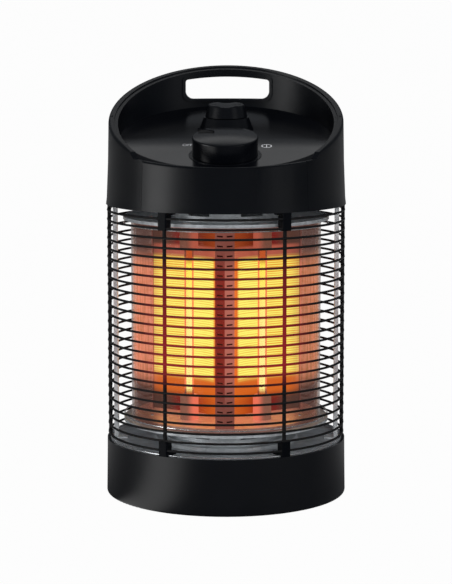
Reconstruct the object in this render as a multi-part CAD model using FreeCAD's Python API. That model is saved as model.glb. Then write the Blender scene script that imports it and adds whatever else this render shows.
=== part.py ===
import FreeCAD, Part
import math
import os

# Tabletop patio heater. Millimetres, +Z up, front towards -Y.
# The origin is on the axis of the round body, on the surface that the feet stand on.

# Fits shared by every piece
seat_gap = 0.3
press_gap = 0.05
running_gap = 0.06
overrun = 4.0
edge_tolerance = 0.01

# Radius of the whole heater at its foot; the other radii follow from it
body_radius = 129.1

# Base
foot_proud = 1.5
foot_radius = 11.0
foot_top_radius = 9.0
foot_inset = 31.1
foot_count = 4
base_height = 59.5
base_draft = 0.9
base_wall = 3.0
base_edge_round = 2.5
tray_ledge_width = 5.0
tray_ledge_thickness = 3.0
tray_drop = 2.2
bottom_plate_thickness = 3.0
bottom_plate_lift = 2.0
bottom_vent_count = 12
bottom_vent_width = 5.0
bottom_vent_length = 30.0
bottom_vent_place_share = 0.426
bottom_screw_inset = 13.1
bottom_screw_first_angle = 20.0
bottom_boss_radius = 5.0
bottom_boss_height = 22.0
screw_head_radius = 3.6
screw_head_height = 1.8
screw_shank_radius = 1.8
screw_shank_length = 9.0

# Gap that the guard fills, from the rim of the base to the lower edge of the top housing
guard_gap = 252.5

# Wire guard
ring_count = 25
ring_pitch = 10.0
guard_inset = 3.1
ring_wire_radius = 1.25
ring_wire_flats = 8
upright_radius = 2.0
upright_count = 6
upright_first_angle = 30.0

# Guard clips
clip_angles = (30.0, 150.0, 210.0, 330.0)
clip_width = 10.0
clip_depth = 10.0
clip_inset = 3.0
clip_upper_height = 18.5
clip_lower_height = 15.5
clip_round = 1.2
clip_tab_length = 9.0
clip_tab_thickness = 3.0

# Galvanised sheet pieces
sheet = 1.2
tray_edge_height = 1.6
tray_step_share = 0.604
tray_step_height = 3.0
tray_screw_place_share = 0.7126
tray_screw_angles = (35.0, 145.0, 215.0, 325.0)
plate_overhang = 8.4
plate_edge_height = 3.4
plate_gap = 21.0
plate_slot_count = 6
plate_slot_inset = 21.6
plate_slot_length = 10.0
plate_slot_width = 3.2
collar_share = 0.561
collar_foot_width = 8.0
collar_window_count = 6
collar_window_width = 26.0
collar_window_height_share = 0.5
post_plate_gap = 6.4
post_rod_gap = 0.15
post_width = 16.0
post_foot_length = 14.0

# Glass tube and the heating core inside it
glass_inset = 27.5
glass_wall = 3.0
glass_lip_height = 4.0
lamp_count = 3
lamp_first_angle = 60.0
lamp_place_share = 0.443
lamp_tube_radius = 5.0
lamp_tube_wall = 1.0
lamp_tube_bite = 12.0
strip_width = 7.2
strip_thickness = 0.8
holder_radius = 9.8
holder_round = 2.0
holder_upper_height = 31.5
holder_lower_height = 26.5
strip_inset = 6.6
reflector_bend_share = 0.5906
reflector_arm_half_gap = 4.0
reflector_sheet = 0.8
corner_strip_width = 10.0
corner_strip_depth = 7.0
corner_slot_count = 20
corner_slot_height = 1.8
corner_slot_width = 6.0

# Top housing
housing_wall = 2.8
housing_inset = 1.1
housing_lip_inset = 0.8
housing_lip_height = 7.0
housing_mid_inset = 2.4
housing_mid_height = 45.0
housing_top_inset = 4.5
rim_rear_rise = 42.3
rim_sag = 0.8
rim_front_rise = 8.6
rim_front_share = 0.62
rim_round = 3.4
rim_step_width = 4.2
rim_step_depth = 1.1
ear_slope = 1.35
front_rim_rise = 6.0
front_rim_slope = 0.14
front_rim_width = 3.6
front_rim_round = 2.4
front_half_angle = 42.0
seam_gap = 0.3
bowl_floor_drop = 1.6
bowl_low_inset = 14.7
bowl_low_shift = 13.5
bowl_high_inset = 12.5
bowl_high_shift = 1.9
cap_floor_lift = 6.0
cap_floor_edge = 6.0
floor_ledge_width = 4.0
floor_ledge_thickness = 2.5

# Hand-hold through the rear of the top housing
grip_half_width = 46.5
grip_below_rim = 14.2
grip_height = 24.5
grip_arch = 3.5
grip_low_round = 8.5
grip_high_round = 3.5
grip_frame = 2.8
grip_lip_height = 1.2

# Control deck
deck_axis_height = 72.0
deck_slope = 0.25
deck_thickness = 3.0
deck_edge_gap = 0.3

# Knob, its ring and the rotary switch below the deck
knob_forward_share = 0.5156
knob_share = 0.2656
knob_height = 21.5
knob_dome = 2.5
knob_edge_round = 1.6
knob_base_gap = 0.5
knob_wall = 3.0
knob_hub_radius = 7.0
pointer_inner = 14.0
pointer_width = 2.4
pointer_end_gap = 1.0
pointer_rise = 0.8
pointer_angle = 148.0
ring_trim_width = 3.5
ring_trim_height = 0.8
ring_trim_recess = 0.6
shaft_radius = 3.0
shaft_bite = 10.0
switch_size = 32.0
switch_height = 20.0
switch_bush_radius = 6.0
switch_shaft_depth = 14.0

# Hanging boss behind the knob, with its turning cap
boss_back_share = 0.1875
boss_tilt = 5.5
boss_foot_share = 0.2266
boss_neck_inset = 5.0
boss_height = 12.7
boss_spigot_share = 0.5833
boss_spigot_height = 6.0
boss_sink = 9.0
boss_gap = 0.8
cap_skirt_inset = 1.4
cap_draft = 3.8
cap_height = 13.0
cap_edge_round = 2.2
cap_saddle_radius = 30.0
cap_saddle_depth = 1.6

# Electrics that stand on the cap floor
terminal_length = 46.0
terminal_width = 20.0
terminal_height = 16.0
terminal_back_share = 0.5236
cutout_radius = 9.0
cutout_height = 8.0
cutout_forward_share = 0.169
cutout_side_share = 0.287
tilt_size = 24.0
tilt_height = 20.0
tilt_side_share = 0.5236

# Cord gland at the rear of the base
gland_height_share = 0.42
gland_radius = 9.0
gland_hole_radius = 3.8
gland_length = 12.0
gland_flange_radius = 12.0
gland_flange_thickness = 2.4

# Heights and radii that follow from the sizes above
base_rim = foot_proud + base_height
housing_low = base_rim + guard_gap
base_bottom_radius = body_radius
base_top_radius = body_radius - base_draft
foot_place = body_radius - foot_inset
bottom_vent_place = body_radius * bottom_vent_place_share
bottom_screw_place = body_radius - bottom_screw_inset
ring_low = base_rim + (guard_gap - (ring_count - 1) * ring_pitch) / 2
ring_radius = body_radius - guard_inset
upright_place = ring_radius - ring_wire_radius - upright_radius
clip_place = ring_radius - clip_inset
tray_radius = base_top_radius - base_wall - seat_gap
tray_step_radius = body_radius * tray_step_share
tray_screw_place = body_radius * tray_screw_place_share
glass_radius = body_radius - glass_inset
plate_radius = glass_radius + plate_overhang
plate_slot_place = glass_radius - plate_slot_inset
collar_radius = glass_radius * collar_share
post_inner_radius = plate_radius + post_plate_gap
post_depth = upright_place - upright_radius - post_rod_gap - post_inner_radius
lamp_place = glass_radius * lamp_place_share
strip_apex = glass_radius - strip_inset
reflector_bend_radius = glass_radius * reflector_bend_share
tray_floor = base_rim - tray_drop
lower_plate_low = base_rim + plate_gap
lower_plate_top = lower_plate_low + sheet
cap_floor_low = housing_low + cap_floor_lift
upper_plate_top = housing_low - plate_gap + cap_floor_lift
upper_plate_low = upper_plate_top - sheet
housing_radius = body_radius - housing_inset
housing_lip_radius = housing_radius - housing_lip_inset
housing_mid_radius = housing_radius - housing_mid_inset
housing_top_radius = housing_radius - housing_top_inset
bowl_low_radius = housing_radius - bowl_low_inset
bowl_high_radius = housing_radius - bowl_high_inset
cap_floor_radius = housing_lip_radius - housing_wall - cap_floor_edge
deck_tilt = math.degrees(math.atan(deck_slope))
deck_axis_z = housing_low + deck_axis_height
rim_front_place = housing_top_radius * rim_front_share
rim_rear_z = deck_axis_z + deck_slope * housing_top_radius + rim_rear_rise
rim_front_z = deck_axis_z - deck_slope * rim_front_place + rim_front_rise
rim_side_share = rim_front_place / (rim_front_place + housing_top_radius)
rim_side_z = rim_front_z + (rim_rear_z - rim_front_z) * rim_side_share - rim_sag
front_rim_z = deck_axis_z - deck_slope * housing_mid_radius + front_rim_rise
bowl_low_z = deck_axis_z - deck_slope * housing_mid_radius - deck_thickness - bowl_floor_drop
housing_high = rim_rear_z + 2 * overrun
grip_high_z = rim_rear_z - grip_below_rim
grip_low_z = grip_high_z - grip_height
knob_forward = housing_radius * knob_forward_share
knob_radius = housing_radius * knob_share
ring_trim_radius = knob_radius + ring_trim_width
boss_back = housing_radius * boss_back_share
boss_foot_radius = housing_radius * boss_foot_share
boss_neck_radius = boss_foot_radius - boss_neck_inset
boss_spigot_radius = boss_neck_radius * boss_spigot_share
cap_skirt_radius = boss_neck_radius - cap_skirt_inset
cap_top_radius = cap_skirt_radius - cap_draft
terminal_back = cap_floor_radius * terminal_back_share
cutout_forward = cap_floor_radius * cutout_forward_share
cutout_side = cap_floor_radius * cutout_side_share
tilt_side = cap_floor_radius * tilt_side_share

UP = FreeCAD.Vector(0, 0, 1)
RIGHT = FreeCAD.Vector(1, 0, 0)
ORIGIN = FreeCAD.Vector(0, 0, 0)


def point(x, y, z):
    return FreeCAD.Vector(x, y, z)


def polar(radius, angle, z=0):
    """Point at an angle measured from the front, growing towards the right-hand side."""
    turn = math.radians(angle)
    return point(radius * math.sin(turn), -radius * math.cos(turn), z)


def turned(shape, angle):
    """Copy of a shape built at the front, turned round the axis to an angle."""
    copy = shape.copy()
    copy.rotate(ORIGIN, UP, angle)
    return copy


def round_pattern(shape, angles):
    return Part.makeCompound([turned(shape, angle) for angle in angles])


def even_angles(count, first=0.0):
    return [first + 360.0 * index / count for index in range(count)]


def spin(outline):
    """Solid of revolution from a closed outline of (radius, height) corners."""
    corners = [point(radius, 0, height) for radius, height in outline]
    face = Part.Face(Part.makePolygon(corners + corners[:1]))
    return face.revolve(ORIGIN, UP, 360)


def disc(radius, height, low=0.0):
    return Part.makeCylinder(radius, height, point(0, 0, low))


def tube(radius, wall, height, low=0.0):
    inner = Part.makeCylinder(radius - wall, height, point(0, 0, low))
    return disc(radius, height, low).cut(inner)


def block(width, depth, height, middle):
    """Box with its middle at the given point in plan and its underside at that height."""
    corner = point(middle.x - width / 2, middle.y - depth / 2, middle.z)
    return Part.makeBox(width, depth, height, corner)


def wedge(start, end, radius, low, high):
    """Sector of a cylinder between two angles measured from the front."""
    sector = Part.makeCylinder(radius, high - low, point(0, 0, low), UP, end - start)
    return turned(sector, start - 90.0)


def half_space_above(axis_height, slope, reach):
    """Large prism whose underside is the plane z = axis_height + slope * y."""
    rise = slope * reach
    corners = [
        point(-reach, -reach, axis_height - rise),
        point(-reach, reach, axis_height + rise),
        point(-reach, reach, axis_height + rise + reach),
        point(-reach, -reach, axis_height + rise + reach),
    ]
    side = Part.Face(Part.makePolygon(corners + corners[:1]))
    return side.extrude(point(2 * reach, 0, 0))


def on_deck(shape, forward):
    """Moves a shape built round the origin onto the sloping deck, square to it."""
    placed = shape.copy()
    placed.rotate(ORIGIN, RIGHT, deck_tilt)
    placed.translate(point(0, -forward, deck_axis_z - deck_slope * forward))
    return placed


def rounded(shape, radius, chosen):
    edges = [edge for edge in shape.Edges if chosen(edge)]
    return shape.makeFillet(radius, edges)


def circle_at(edge, height):
    box = edge.BoundBox
    return abs(box.ZMin - height) < edge_tolerance and abs(box.ZMax - height) < edge_tolerance


# Base


def base_radius_at(height):
    share = (height - foot_proud) / base_height
    return base_bottom_radius + (base_top_radius - base_bottom_radius) * share


def bottom_screw_angles():
    return even_angles(foot_count, bottom_screw_first_angle)


def bottom_bosses(radius, height, low):
    post = disc(radius, height, low)
    places = [polar(bottom_screw_place, angle) for angle in bottom_screw_angles()]
    return [post.translated(place) for place in places]


def base_housing():
    ledge_low = tray_floor - sheet - tray_ledge_thickness
    ledge_top = tray_floor - sheet
    inner_low = base_bottom_radius - base_wall
    inner_ledge = base_radius_at(ledge_low) - base_wall
    inner_top = base_top_radius - base_wall
    shell = spin([
        (inner_low, foot_proud),
        (base_bottom_radius, foot_proud),
        (base_top_radius, base_rim),
        (inner_top, base_rim),
        (inner_top, ledge_top),
        (inner_top - tray_ledge_width, ledge_top),
        (inner_top - tray_ledge_width, ledge_low),
        (inner_ledge, ledge_low - tray_ledge_width),
    ])
    shell = rounded(shell, base_edge_round, lambda edge: circle_at(edge, foot_proud)
                    and edge.BoundBox.XMax > base_bottom_radius - base_wall / 2)
    boss_low = foot_proud + bottom_plate_lift + bottom_plate_thickness
    bosses = bottom_bosses(bottom_boss_radius, bottom_boss_height, boss_low)
    arms = []
    for angle in bottom_screw_angles():
        reach = inner_ledge - bottom_screw_place + base_wall / 2
        arm = block(base_wall, reach, bottom_boss_height,
                    point(0, -bottom_screw_place - reach / 2, boss_low))
        arms.append(turned(arm, angle))
    shell = shell.fuse(bosses + arms)
    pilots = bottom_bosses(screw_shank_radius + press_gap, screw_shank_length, boss_low)
    gland = gland_bore(gland_radius + press_gap)
    return shell.cut(pilots + [gland]).removeSplitter()


def bottom_plate_radius():
    return base_radius_at(foot_proud + bottom_plate_lift) - base_wall - seat_gap - base_edge_round


def bottom_plate():
    low = foot_proud + bottom_plate_lift
    plate = disc(bottom_plate_radius(), bottom_plate_thickness, low)
    vent = block(bottom_vent_width, bottom_vent_length, bottom_plate_thickness + 2 * overrun,
                 point(0, -bottom_vent_place, low - overrun))
    vents = round_pattern(vent, even_angles(bottom_vent_count))
    holes = bottom_bosses(screw_shank_radius + seat_gap, bottom_plate_thickness + 2 * overrun, low - overrun)
    return plate.cut([vents] + holes)


def bottom_screws():
    low = foot_proud + bottom_plate_lift
    head = disc(screw_head_radius, screw_head_height, low - screw_head_height)
    shank = disc(screw_shank_radius, bottom_plate_thickness + screw_shank_length, low)
    screw = head.fuse(shank).removeSplitter()
    places = [polar(bottom_screw_place, angle) for angle in bottom_screw_angles()]
    return Part.makeCompound([screw.translated(place) for place in places])


def rubber_feet():
    top = foot_proud + bottom_plate_lift
    foot = Part.makeCone(foot_top_radius, foot_radius, top)
    places = [polar(foot_place, angle) for angle in even_angles(foot_count, 360.0 / foot_count / 2)]
    return Part.makeCompound([foot.translated(place) for place in places])


def gland_bore(radius):
    height = foot_proud + base_height * gland_height_share
    return Part.makeCylinder(radius, base_wall + 2 * overrun,
                             point(0, base_radius_at(height) - base_wall - overrun, height), point(0, 1, 0))


def cord_gland():
    height = foot_proud + base_height * gland_height_share
    wall_face = base_radius_at(height)
    inside = wall_face - base_wall
    along = point(0, 1, 0)
    neck = Part.makeCylinder(gland_radius, gland_length, point(0, wall_face - gland_length, height), along)
    flange_start = inside - seat_gap - gland_flange_thickness - base_wall / 2
    flange = Part.makeCylinder(gland_flange_radius, gland_flange_thickness,
                               point(0, flange_start, height), along)
    hole = Part.makeCylinder(gland_hole_radius, gland_length + 2 * overrun,
                             point(0, wall_face - gland_length - overrun, height), along)
    return neck.fuse(flange).cut(hole).removeSplitter()


# Galvanised carcass


def base_tray():
    low = tray_floor - sheet
    tray = spin([
        (0, low + tray_step_height),
        (tray_step_radius - tray_step_height, low + tray_step_height),
        (tray_step_radius, low),
        (tray_radius, low),
        (tray_radius, tray_floor + tray_edge_height),
        (tray_radius - sheet, tray_floor + tray_edge_height),
        (tray_radius - sheet, tray_floor),
        (tray_step_radius + sheet / 2, tray_floor),
        (tray_step_radius - tray_step_height + sheet / 2, tray_floor + tray_step_height),
        (0, tray_floor + tray_step_height),
    ])
    hole = disc(screw_shank_radius + seat_gap, sheet + 2 * overrun, low - overrun)
    holes = [hole.translated(polar(tray_screw_place, angle)) for angle in tray_screw_angles]
    return tray.cut(holes)


def tray_screws():
    head = Part.makeCone(screw_head_radius, screw_head_radius - screw_head_height / 2, screw_head_height,
                         point(0, 0, tray_floor))
    shank = disc(screw_shank_radius, screw_shank_length, tray_floor - screw_shank_length)
    screw = head.fuse(shank).removeSplitter()
    places = [polar(tray_screw_place, angle) for angle in tray_screw_angles]
    return Part.makeCompound([screw.translated(place) for place in places])


def collar(low, high):
    """Sheet tube with a flange at each end and a row of windows for the air."""
    body = spin([
        (collar_radius - sheet, low),
        (collar_radius + collar_foot_width, low),
        (collar_radius + collar_foot_width, low + sheet),
        (collar_radius, low + sheet),
        (collar_radius, high - sheet),
        (collar_radius + collar_foot_width, high - sheet),
        (collar_radius + collar_foot_width, high),
        (collar_radius - sheet, high),
    ])
    window_height = (high - low) * collar_window_height_share
    window = block(collar_window_width, 2 * overrun, window_height,
                   point(0, -collar_radius, (low + high - window_height) / 2))
    return body.cut(round_pattern(window, even_angles(collar_window_count, 180.0 / collar_window_count)))


def lower_collar():
    return collar(tray_floor + tray_step_height, lower_plate_low)


def upper_collar():
    return collar(upper_plate_top, cap_floor_low)


def end_plate(face, inward):
    """Pressed disc that closes the glass: inward is +1 where the core lies above the plate, -1 below it."""
    seat = glass_radius - glass_wall - seat_gap
    outer = face - inward * sheet
    plate = spin([
        (0, outer),
        (plate_radius - sheet, outer),
        (plate_radius - sheet, outer - inward * (plate_edge_height - sheet)),
        (plate_radius, outer - inward * (plate_edge_height - sheet)),
        (plate_radius, face),
        (seat, face),
        (seat, face + inward * glass_lip_height),
        (seat - sheet, face + inward * glass_lip_height),
        (seat - sheet, face),
        (0, face),
    ])
    slot_low = min(face, outer) - overrun
    slot_tall = sheet + 2 * overrun
    slot = block(plate_slot_length - plate_slot_width, plate_slot_width, slot_tall,
                 point(0, -plate_slot_place, slot_low))
    for side in (-1, 1):
        end = disc(plate_slot_width / 2, slot_tall, slot_low)
        slot = slot.fuse(end.translated(point(side * (plate_slot_length - plate_slot_width) / 2,
                                              -plate_slot_place, 0)))
    return plate.cut(round_pattern(slot, even_angles(plate_slot_count, upright_first_angle)))


def lower_plate():
    return end_plate(lower_plate_top, 1)


def upper_plate():
    return end_plate(upper_plate_low, -1)


def side_post(side):
    """Channel with a bent foot at each end, open towards the axis."""
    low = tray_floor
    high = cap_floor_low
    back = block(sheet, post_width, high - low,
                 point(post_inner_radius + post_depth - sheet / 2, 0, low))
    cheeks = [block(post_depth, sheet, high - low,
                    point(post_inner_radius + post_depth / 2, edge * (post_width - sheet) / 2, low))
              for edge in (-1, 1)]
    foot = block(post_foot_length, post_width, sheet,
                 point(post_inner_radius + post_depth - post_foot_length / 2, 0, low))
    head = foot.translated(point(0, 0, high - low - sheet))
    channel = back.fuse(cheeks + [foot, head]).removeSplitter()
    return channel if side > 0 else turned(channel, 180.0)


# Glass and heating core


def glass_tube():
    return tube(glass_radius, glass_wall, upper_plate_low - lower_plate_top, lower_plate_top)


def lamp_angles():
    return even_angles(lamp_count, lamp_first_angle)


def at_lamps(piece):
    """One copy of a piece built at the lamp circle's front, for each lamp."""
    return [turned(piece.translated(polar(lamp_place, 0)), angle) for angle in lamp_angles()]


def holder(height, low, mouth_down):
    body = disc(holder_radius, height, low)
    rounded_end = low if mouth_down else low + height
    body = rounded(body, holder_round, lambda edge: circle_at(edge, rounded_end))
    socket_low = low if mouth_down else low + height - lamp_tube_bite
    socket = disc(lamp_tube_radius + press_gap, lamp_tube_bite, socket_low)
    return body.cut(socket)


def upper_holders():
    return at_lamps(holder(holder_upper_height, upper_plate_low - holder_upper_height, True))


def lower_holders():
    return at_lamps(holder(holder_lower_height, lower_plate_top, False))


def lamp_span():
    low = lower_plate_top + holder_lower_height - lamp_tube_bite
    high = upper_plate_low - holder_upper_height + lamp_tube_bite
    return low, high


def lamp_tubes():
    low, high = lamp_span()
    return at_lamps(tube(lamp_tube_radius, lamp_tube_wall, high - low, low))


def carbon_strips():
    low, high = lamp_span()
    return at_lamps(block(strip_width, strip_thickness, high - low, point(0, 0, low)))


def core_span():
    return lower_plate_top, upper_plate_low


def arm_tip_radius():
    """Where an arm's sheet meets the inside of its corner strip."""
    slant = corner_strip_depth / corner_strip_width
    strip_inside = strip_apex - reflector_sheet * math.hypot(1, slant)
    return strip_inside - slant * (reflector_arm_half_gap + reflector_sheet)


def trough_face(shift):
    """Points of the trough behind a lamp at the front, for a sheet face moved towards the lamp by shift."""
    half = math.radians(180.0 / lamp_count)
    arm = point(math.sin(half), -math.cos(half), 0)
    side = point(-math.cos(half), -math.sin(half), 0)
    offset = reflector_arm_half_gap + shift
    bend = reflector_bend_radius - shift
    middle = point(0, -(offset + bend) / math.sin(half), 0)
    root = middle - side * bend
    valley = middle + point(0, bend, 0)
    along = math.sqrt(arm_tip_radius() ** 2 - offset ** 2)
    tip = arm * along + side * offset
    return tip, root, valley


def mirrored(place):
    return point(-place.x, place.y, place.z)


def reflector_panels():
    low, high = core_span()
    tip, root, valley = trough_face(0)
    near_tip, near_root, near_valley = trough_face(reflector_sheet)
    outline = Part.Wire([
        Part.makeLine(tip, root),
        Part.Arc(root, valley, mirrored(root)).toShape(),
        Part.makeLine(mirrored(root), mirrored(tip)),
        Part.makeLine(mirrored(tip), mirrored(near_tip)),
        Part.makeLine(mirrored(near_tip), mirrored(near_root)),
        Part.Arc(mirrored(near_root), near_valley, near_root).toShape(),
        Part.makeLine(near_root, near_tip),
        Part.makeLine(near_tip, tip),
    ])
    panel = Part.Face(outline).extrude(point(0, 0, high - low)).translated(point(0, 0, low))
    return [turned(panel, angle) for angle in lamp_angles()]


def corner_strips():
    """Slotted angle strips on the arm tips, halfway between the lamps."""
    low, high = core_span()
    slant = corner_strip_depth / corner_strip_width
    back = reflector_sheet * math.hypot(1, slant)
    corners = [
        point(-corner_strip_width, -strip_apex + corner_strip_depth, low),
        point(0, -strip_apex, low),
        point(corner_strip_width, -strip_apex + corner_strip_depth, low),
        point(corner_strip_width, -strip_apex + corner_strip_depth + back, low),
        point(0, -strip_apex + back, low),
        point(-corner_strip_width, -strip_apex + corner_strip_depth + back, low),
    ]
    strip = Part.Face(Part.makePolygon(corners + corners[:1])).extrude(point(0, 0, high - low))
    pitch = (high - low) / (corner_slot_count + 1)
    slots = []
    for index in range(corner_slot_count):
        height = low + pitch * (index + 1) - corner_slot_height / 2
        for side in (-1, 1):
            middle = point(side * corner_strip_width / 2, -strip_apex + corner_strip_depth / 2, height)
            slots.append(block(corner_slot_width, 2 * corner_strip_depth, corner_slot_height, middle))
    strip = strip.cut(slots)
    return [turned(strip, angle - 180.0 / lamp_count) for angle in lamp_angles()]


# Wire guard


def ring_heights():
    return [ring_low + index * ring_pitch for index in range(ring_count)]


def wire_ring(radius):
    """One ring of the guard at height zero, with flats along its wire that lie at the given wire radius."""
    half_turn = math.pi / ring_wire_flats
    corner = radius / math.cos(half_turn)
    turns = [half_turn * (2 * index + 1) for index in range(ring_wire_flats)]
    return spin([(ring_radius + corner * math.cos(turn), corner * math.sin(turn)) for turn in turns])


def guard_rings():
    ring = wire_ring(ring_wire_radius)
    return Part.makeCompound([ring.translated(point(0, 0, height)) for height in ring_heights()])


def guard_uprights():
    rod = Part.makeCylinder(upright_radius, guard_gap, point(0, -upright_place, base_rim))
    return round_pattern(rod, even_angles(upright_count, upright_first_angle))


def clip(low, height, tab_low):
    """Block that grips one upright and the rings that cross it, with a tab towards the axis."""
    middle = point(0, -clip_place, low)
    body = block(clip_width, clip_depth, height, middle)
    body = rounded(body, clip_round, lambda edge: edge.BoundBox.ZLength > height / 2
                   and edge.BoundBox.YMin < -clip_place)
    tab_middle = point(0, -clip_place + (clip_depth + clip_tab_length) / 2, tab_low)
    tab = block(clip_width, clip_tab_length, clip_tab_thickness, tab_middle)
    rod = Part.makeCylinder(upright_radius + press_gap, height + 2 * overrun,
                            point(0, -upright_place, low - overrun))
    groove = wire_ring(ring_wire_radius + press_gap)
    reach = ring_wire_radius + overrun
    crossing = [z for z in ring_heights() if low - reach < z < low + height + reach]
    grooves = [groove.translated(point(0, 0, z)) for z in crossing]
    return body.fuse(tab).cut([rod] + grooves).removeSplitter()


def upper_clips():
    low = housing_low - clip_upper_height
    return round_pattern(clip(low, clip_upper_height, housing_low - clip_tab_thickness), clip_angles)


def lower_clips():
    return round_pattern(clip(base_rim, clip_lower_height, base_rim), clip_angles)


# Top housing


def housing_outline(inset):
    """Half section of the top housing's outer wall, moved inwards by inset."""
    return [
        (0, housing_low),
        (housing_radius - inset, housing_low),
        (housing_lip_radius - inset, housing_low + housing_lip_height),
        (housing_mid_radius - inset, housing_low + housing_mid_height),
        (housing_top_radius - inset, housing_high),
        (0, housing_high),
    ]


def rim_arc():
    """The rim in side view: a slightly hollow arc through its heights at rear, sides and front."""
    return Part.Circle(point(0, housing_top_radius, rim_rear_z), point(0, 0, rim_side_z),
                       point(0, -rim_front_place, rim_front_z))


def above_rim(drop):
    """Cylinder lying across the housing, its lowest part the swept surface of the rim."""
    arc = rim_arc()
    reach = 2 * housing_radius
    return Part.makeCylinder(arc.Radius + drop, 2 * reach, arc.Center - RIGHT * reach, RIGHT)


def front_rim_axis_z():
    return front_rim_z + front_rim_slope * housing_mid_radius


def above_front_rim():
    return half_space_above(front_rim_axis_z(), front_rim_slope, housing_high)


def beyond_ears():
    """What the side shells lose where their rim falls steeply to the front cover."""
    steep = half_space_above(rim_front_z + ear_slope * rim_front_place, ear_slope, housing_high)
    return steep.common(above_front_rim())


def above_deck(drop):
    return half_space_above(deck_axis_z - drop, deck_slope, housing_high)


def bowl(grow):
    """Leaning bowl that holds the deck, kept clear of the front wall."""
    rings = []
    for height, radius, shift in ((bowl_low_z, bowl_low_radius, bowl_low_shift),
                                  (housing_high, bowl_high_radius, bowl_high_shift)):
        edge = Part.makeCircle(radius + grow, point(0, -shift, height))
        rings.append(Part.Wire(edge))
    lean = Part.makeLoft(rings, True, True)
    limit = disc(housing_mid_radius - front_rim_width + grow, housing_high, 0)
    return lean.common(limit)


def grip_opening(grow):
    """Hand-hold through the rear wall: rounded lower corners and an arched top."""
    half = grip_half_width + grow
    low = grip_low_z - grow
    shoulder = grip_high_z - grip_arch + grow
    crown = grip_high_z + grow
    arch = Part.Arc(point(half, 0, shoulder), point(0, 0, crown), point(-half, 0, shoulder)).toShape()
    outline = Part.Wire([
        Part.makeLine(point(-half, 0, shoulder), point(-half, 0, low)),
        Part.makeLine(point(-half, 0, low), point(half, 0, low)),
        Part.makeLine(point(half, 0, low), point(half, 0, shoulder)),
        arch,
    ])
    prism = Part.Face(outline).extrude(point(0, housing_radius + overrun, 0))
    upright = [edge for edge in prism.Edges if edge.BoundBox.YLength > housing_radius]
    low_edges = [edge for edge in upright if edge.BoundBox.ZMax < (low + shoulder) / 2]
    prism = prism.makeFillet(grip_low_round, low_edges)
    high_edges = [edge for edge in prism.Edges
                  if edge.BoundBox.YLength > housing_radius and edge.BoundBox.ZMin > shoulder - seat_gap]
    return prism.makeFillet(grip_high_round, high_edges)


def grip_lip():
    """Raised frame round the hand-hold, on the inside of the bowl."""
    band = bowl(0).cut(bowl(-grip_lip_height))
    return band.common(grip_opening(grip_frame)).cut(grip_opening(0))


def edge_samples(edge):
    span = edge.LastParameter - edge.FirstParameter
    return [edge.valueAt(edge.FirstParameter + share * span) for share in (0.0, 0.25, 0.5, 0.75)]


def on_rim(edge):
    """True for an edge that lies in the swept surface of the rim."""
    arc = rim_arc()
    return all(abs(math.hypot(place.y - arc.Center.y, place.z - arc.Center.z) - arc.Radius) < edge_tolerance
               for place in edge_samples(edge))


def on_front_rim(edge):
    return all(abs(place.z - front_rim_axis_z() - front_rim_slope * place.y) < edge_tolerance
               for place in edge_samples(edge))


def housing_cavity():
    inner = spin(housing_outline(housing_wall))
    well_walls = bowl(housing_wall).common(above_deck(deck_thickness + housing_wall))
    inner = inner.cut([above_rim(housing_wall), well_walls, grip_opening(grip_frame)])
    ledge_low = cap_floor_low + sheet
    ledge = tube(housing_radius, housing_radius - cap_floor_radius + floor_ledge_width,
                 floor_ledge_thickness, ledge_low)
    return inner.cut(ledge)


def deck_well():
    """The bowl as deep as the deck's underside."""
    return bowl(0).common(above_deck(deck_thickness))


def cowl_blank():
    """Outer wall trimmed at the slanted rim, with its outer edge rounded and a step along its inner edge."""
    blank = spin(housing_outline(0)).cut(above_rim(0))
    blank = blank.makeFillet(rim_round, [edge for edge in blank.Edges if on_rim(edge)])
    step = bowl(rim_step_width).common(above_rim(rim_step_depth))
    return blank.cut([deck_well(), step])


def front_blank():
    blank = spin(housing_outline(0)).cut(above_front_rim())
    blank = blank.makeFillet(front_rim_round, [edge for edge in blank.Edges if on_front_rim(edge)])
    return blank.cut(deck_well())


def shell_sector(body, start, end):
    margin = math.degrees(seam_gap / 2 / housing_radius)
    return body.common(wedge(start + margin, end - margin, housing_radius + overrun, 0, housing_high))


def housing_shells():
    cavity = housing_cavity()
    throat = bowl(-floor_ledge_width)
    cowl = cowl_blank()
    sides = cowl.cut(beyond_ears())
    shells = {
        "front_cover": shell_sector(front_blank(), -front_half_angle, front_half_angle),
        "right_side_shell": shell_sector(sides, front_half_angle, 90.0),
        "rear_cowl": shell_sector(cowl, 90.0, 270.0),
        "left_side_shell": shell_sector(sides, 270.0, 360.0 - front_half_angle),
    }
    shells = {name: body.cut([cavity, throat, grip_opening(0)]) for name, body in shells.items()}
    shells["rear_cowl"] = shells["rear_cowl"].fuse(grip_lip()).removeSplitter()
    return shells


def cap_floor():
    return disc(cap_floor_radius, sheet, cap_floor_low)


# Control deck


def control_deck():
    deck = bowl(-deck_edge_gap).common(above_deck(deck_thickness)).cut(above_deck(0))
    hole = disc(switch_bush_radius + seat_gap, 2 * deck_thickness + 2 * overrun, -deck_thickness - overrun)
    recess = disc(ring_trim_radius + seat_gap, ring_trim_recess + overrun, -ring_trim_recess)
    return deck.cut([on_deck(hole, knob_forward), on_deck(recess, knob_forward)])


def knob_ring():
    ring = tube(ring_trim_radius, ring_trim_radius - switch_bush_radius - seat_gap,
                ring_trim_recess + ring_trim_height, -ring_trim_recess)
    ring = rounded(ring, ring_trim_height / 2, lambda edge: circle_at(edge, ring_trim_height)
                   and edge.BoundBox.XMax > ring_trim_radius - seat_gap)
    return on_deck(ring, knob_forward)


def knob_low():
    return ring_trim_height + knob_base_gap


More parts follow.
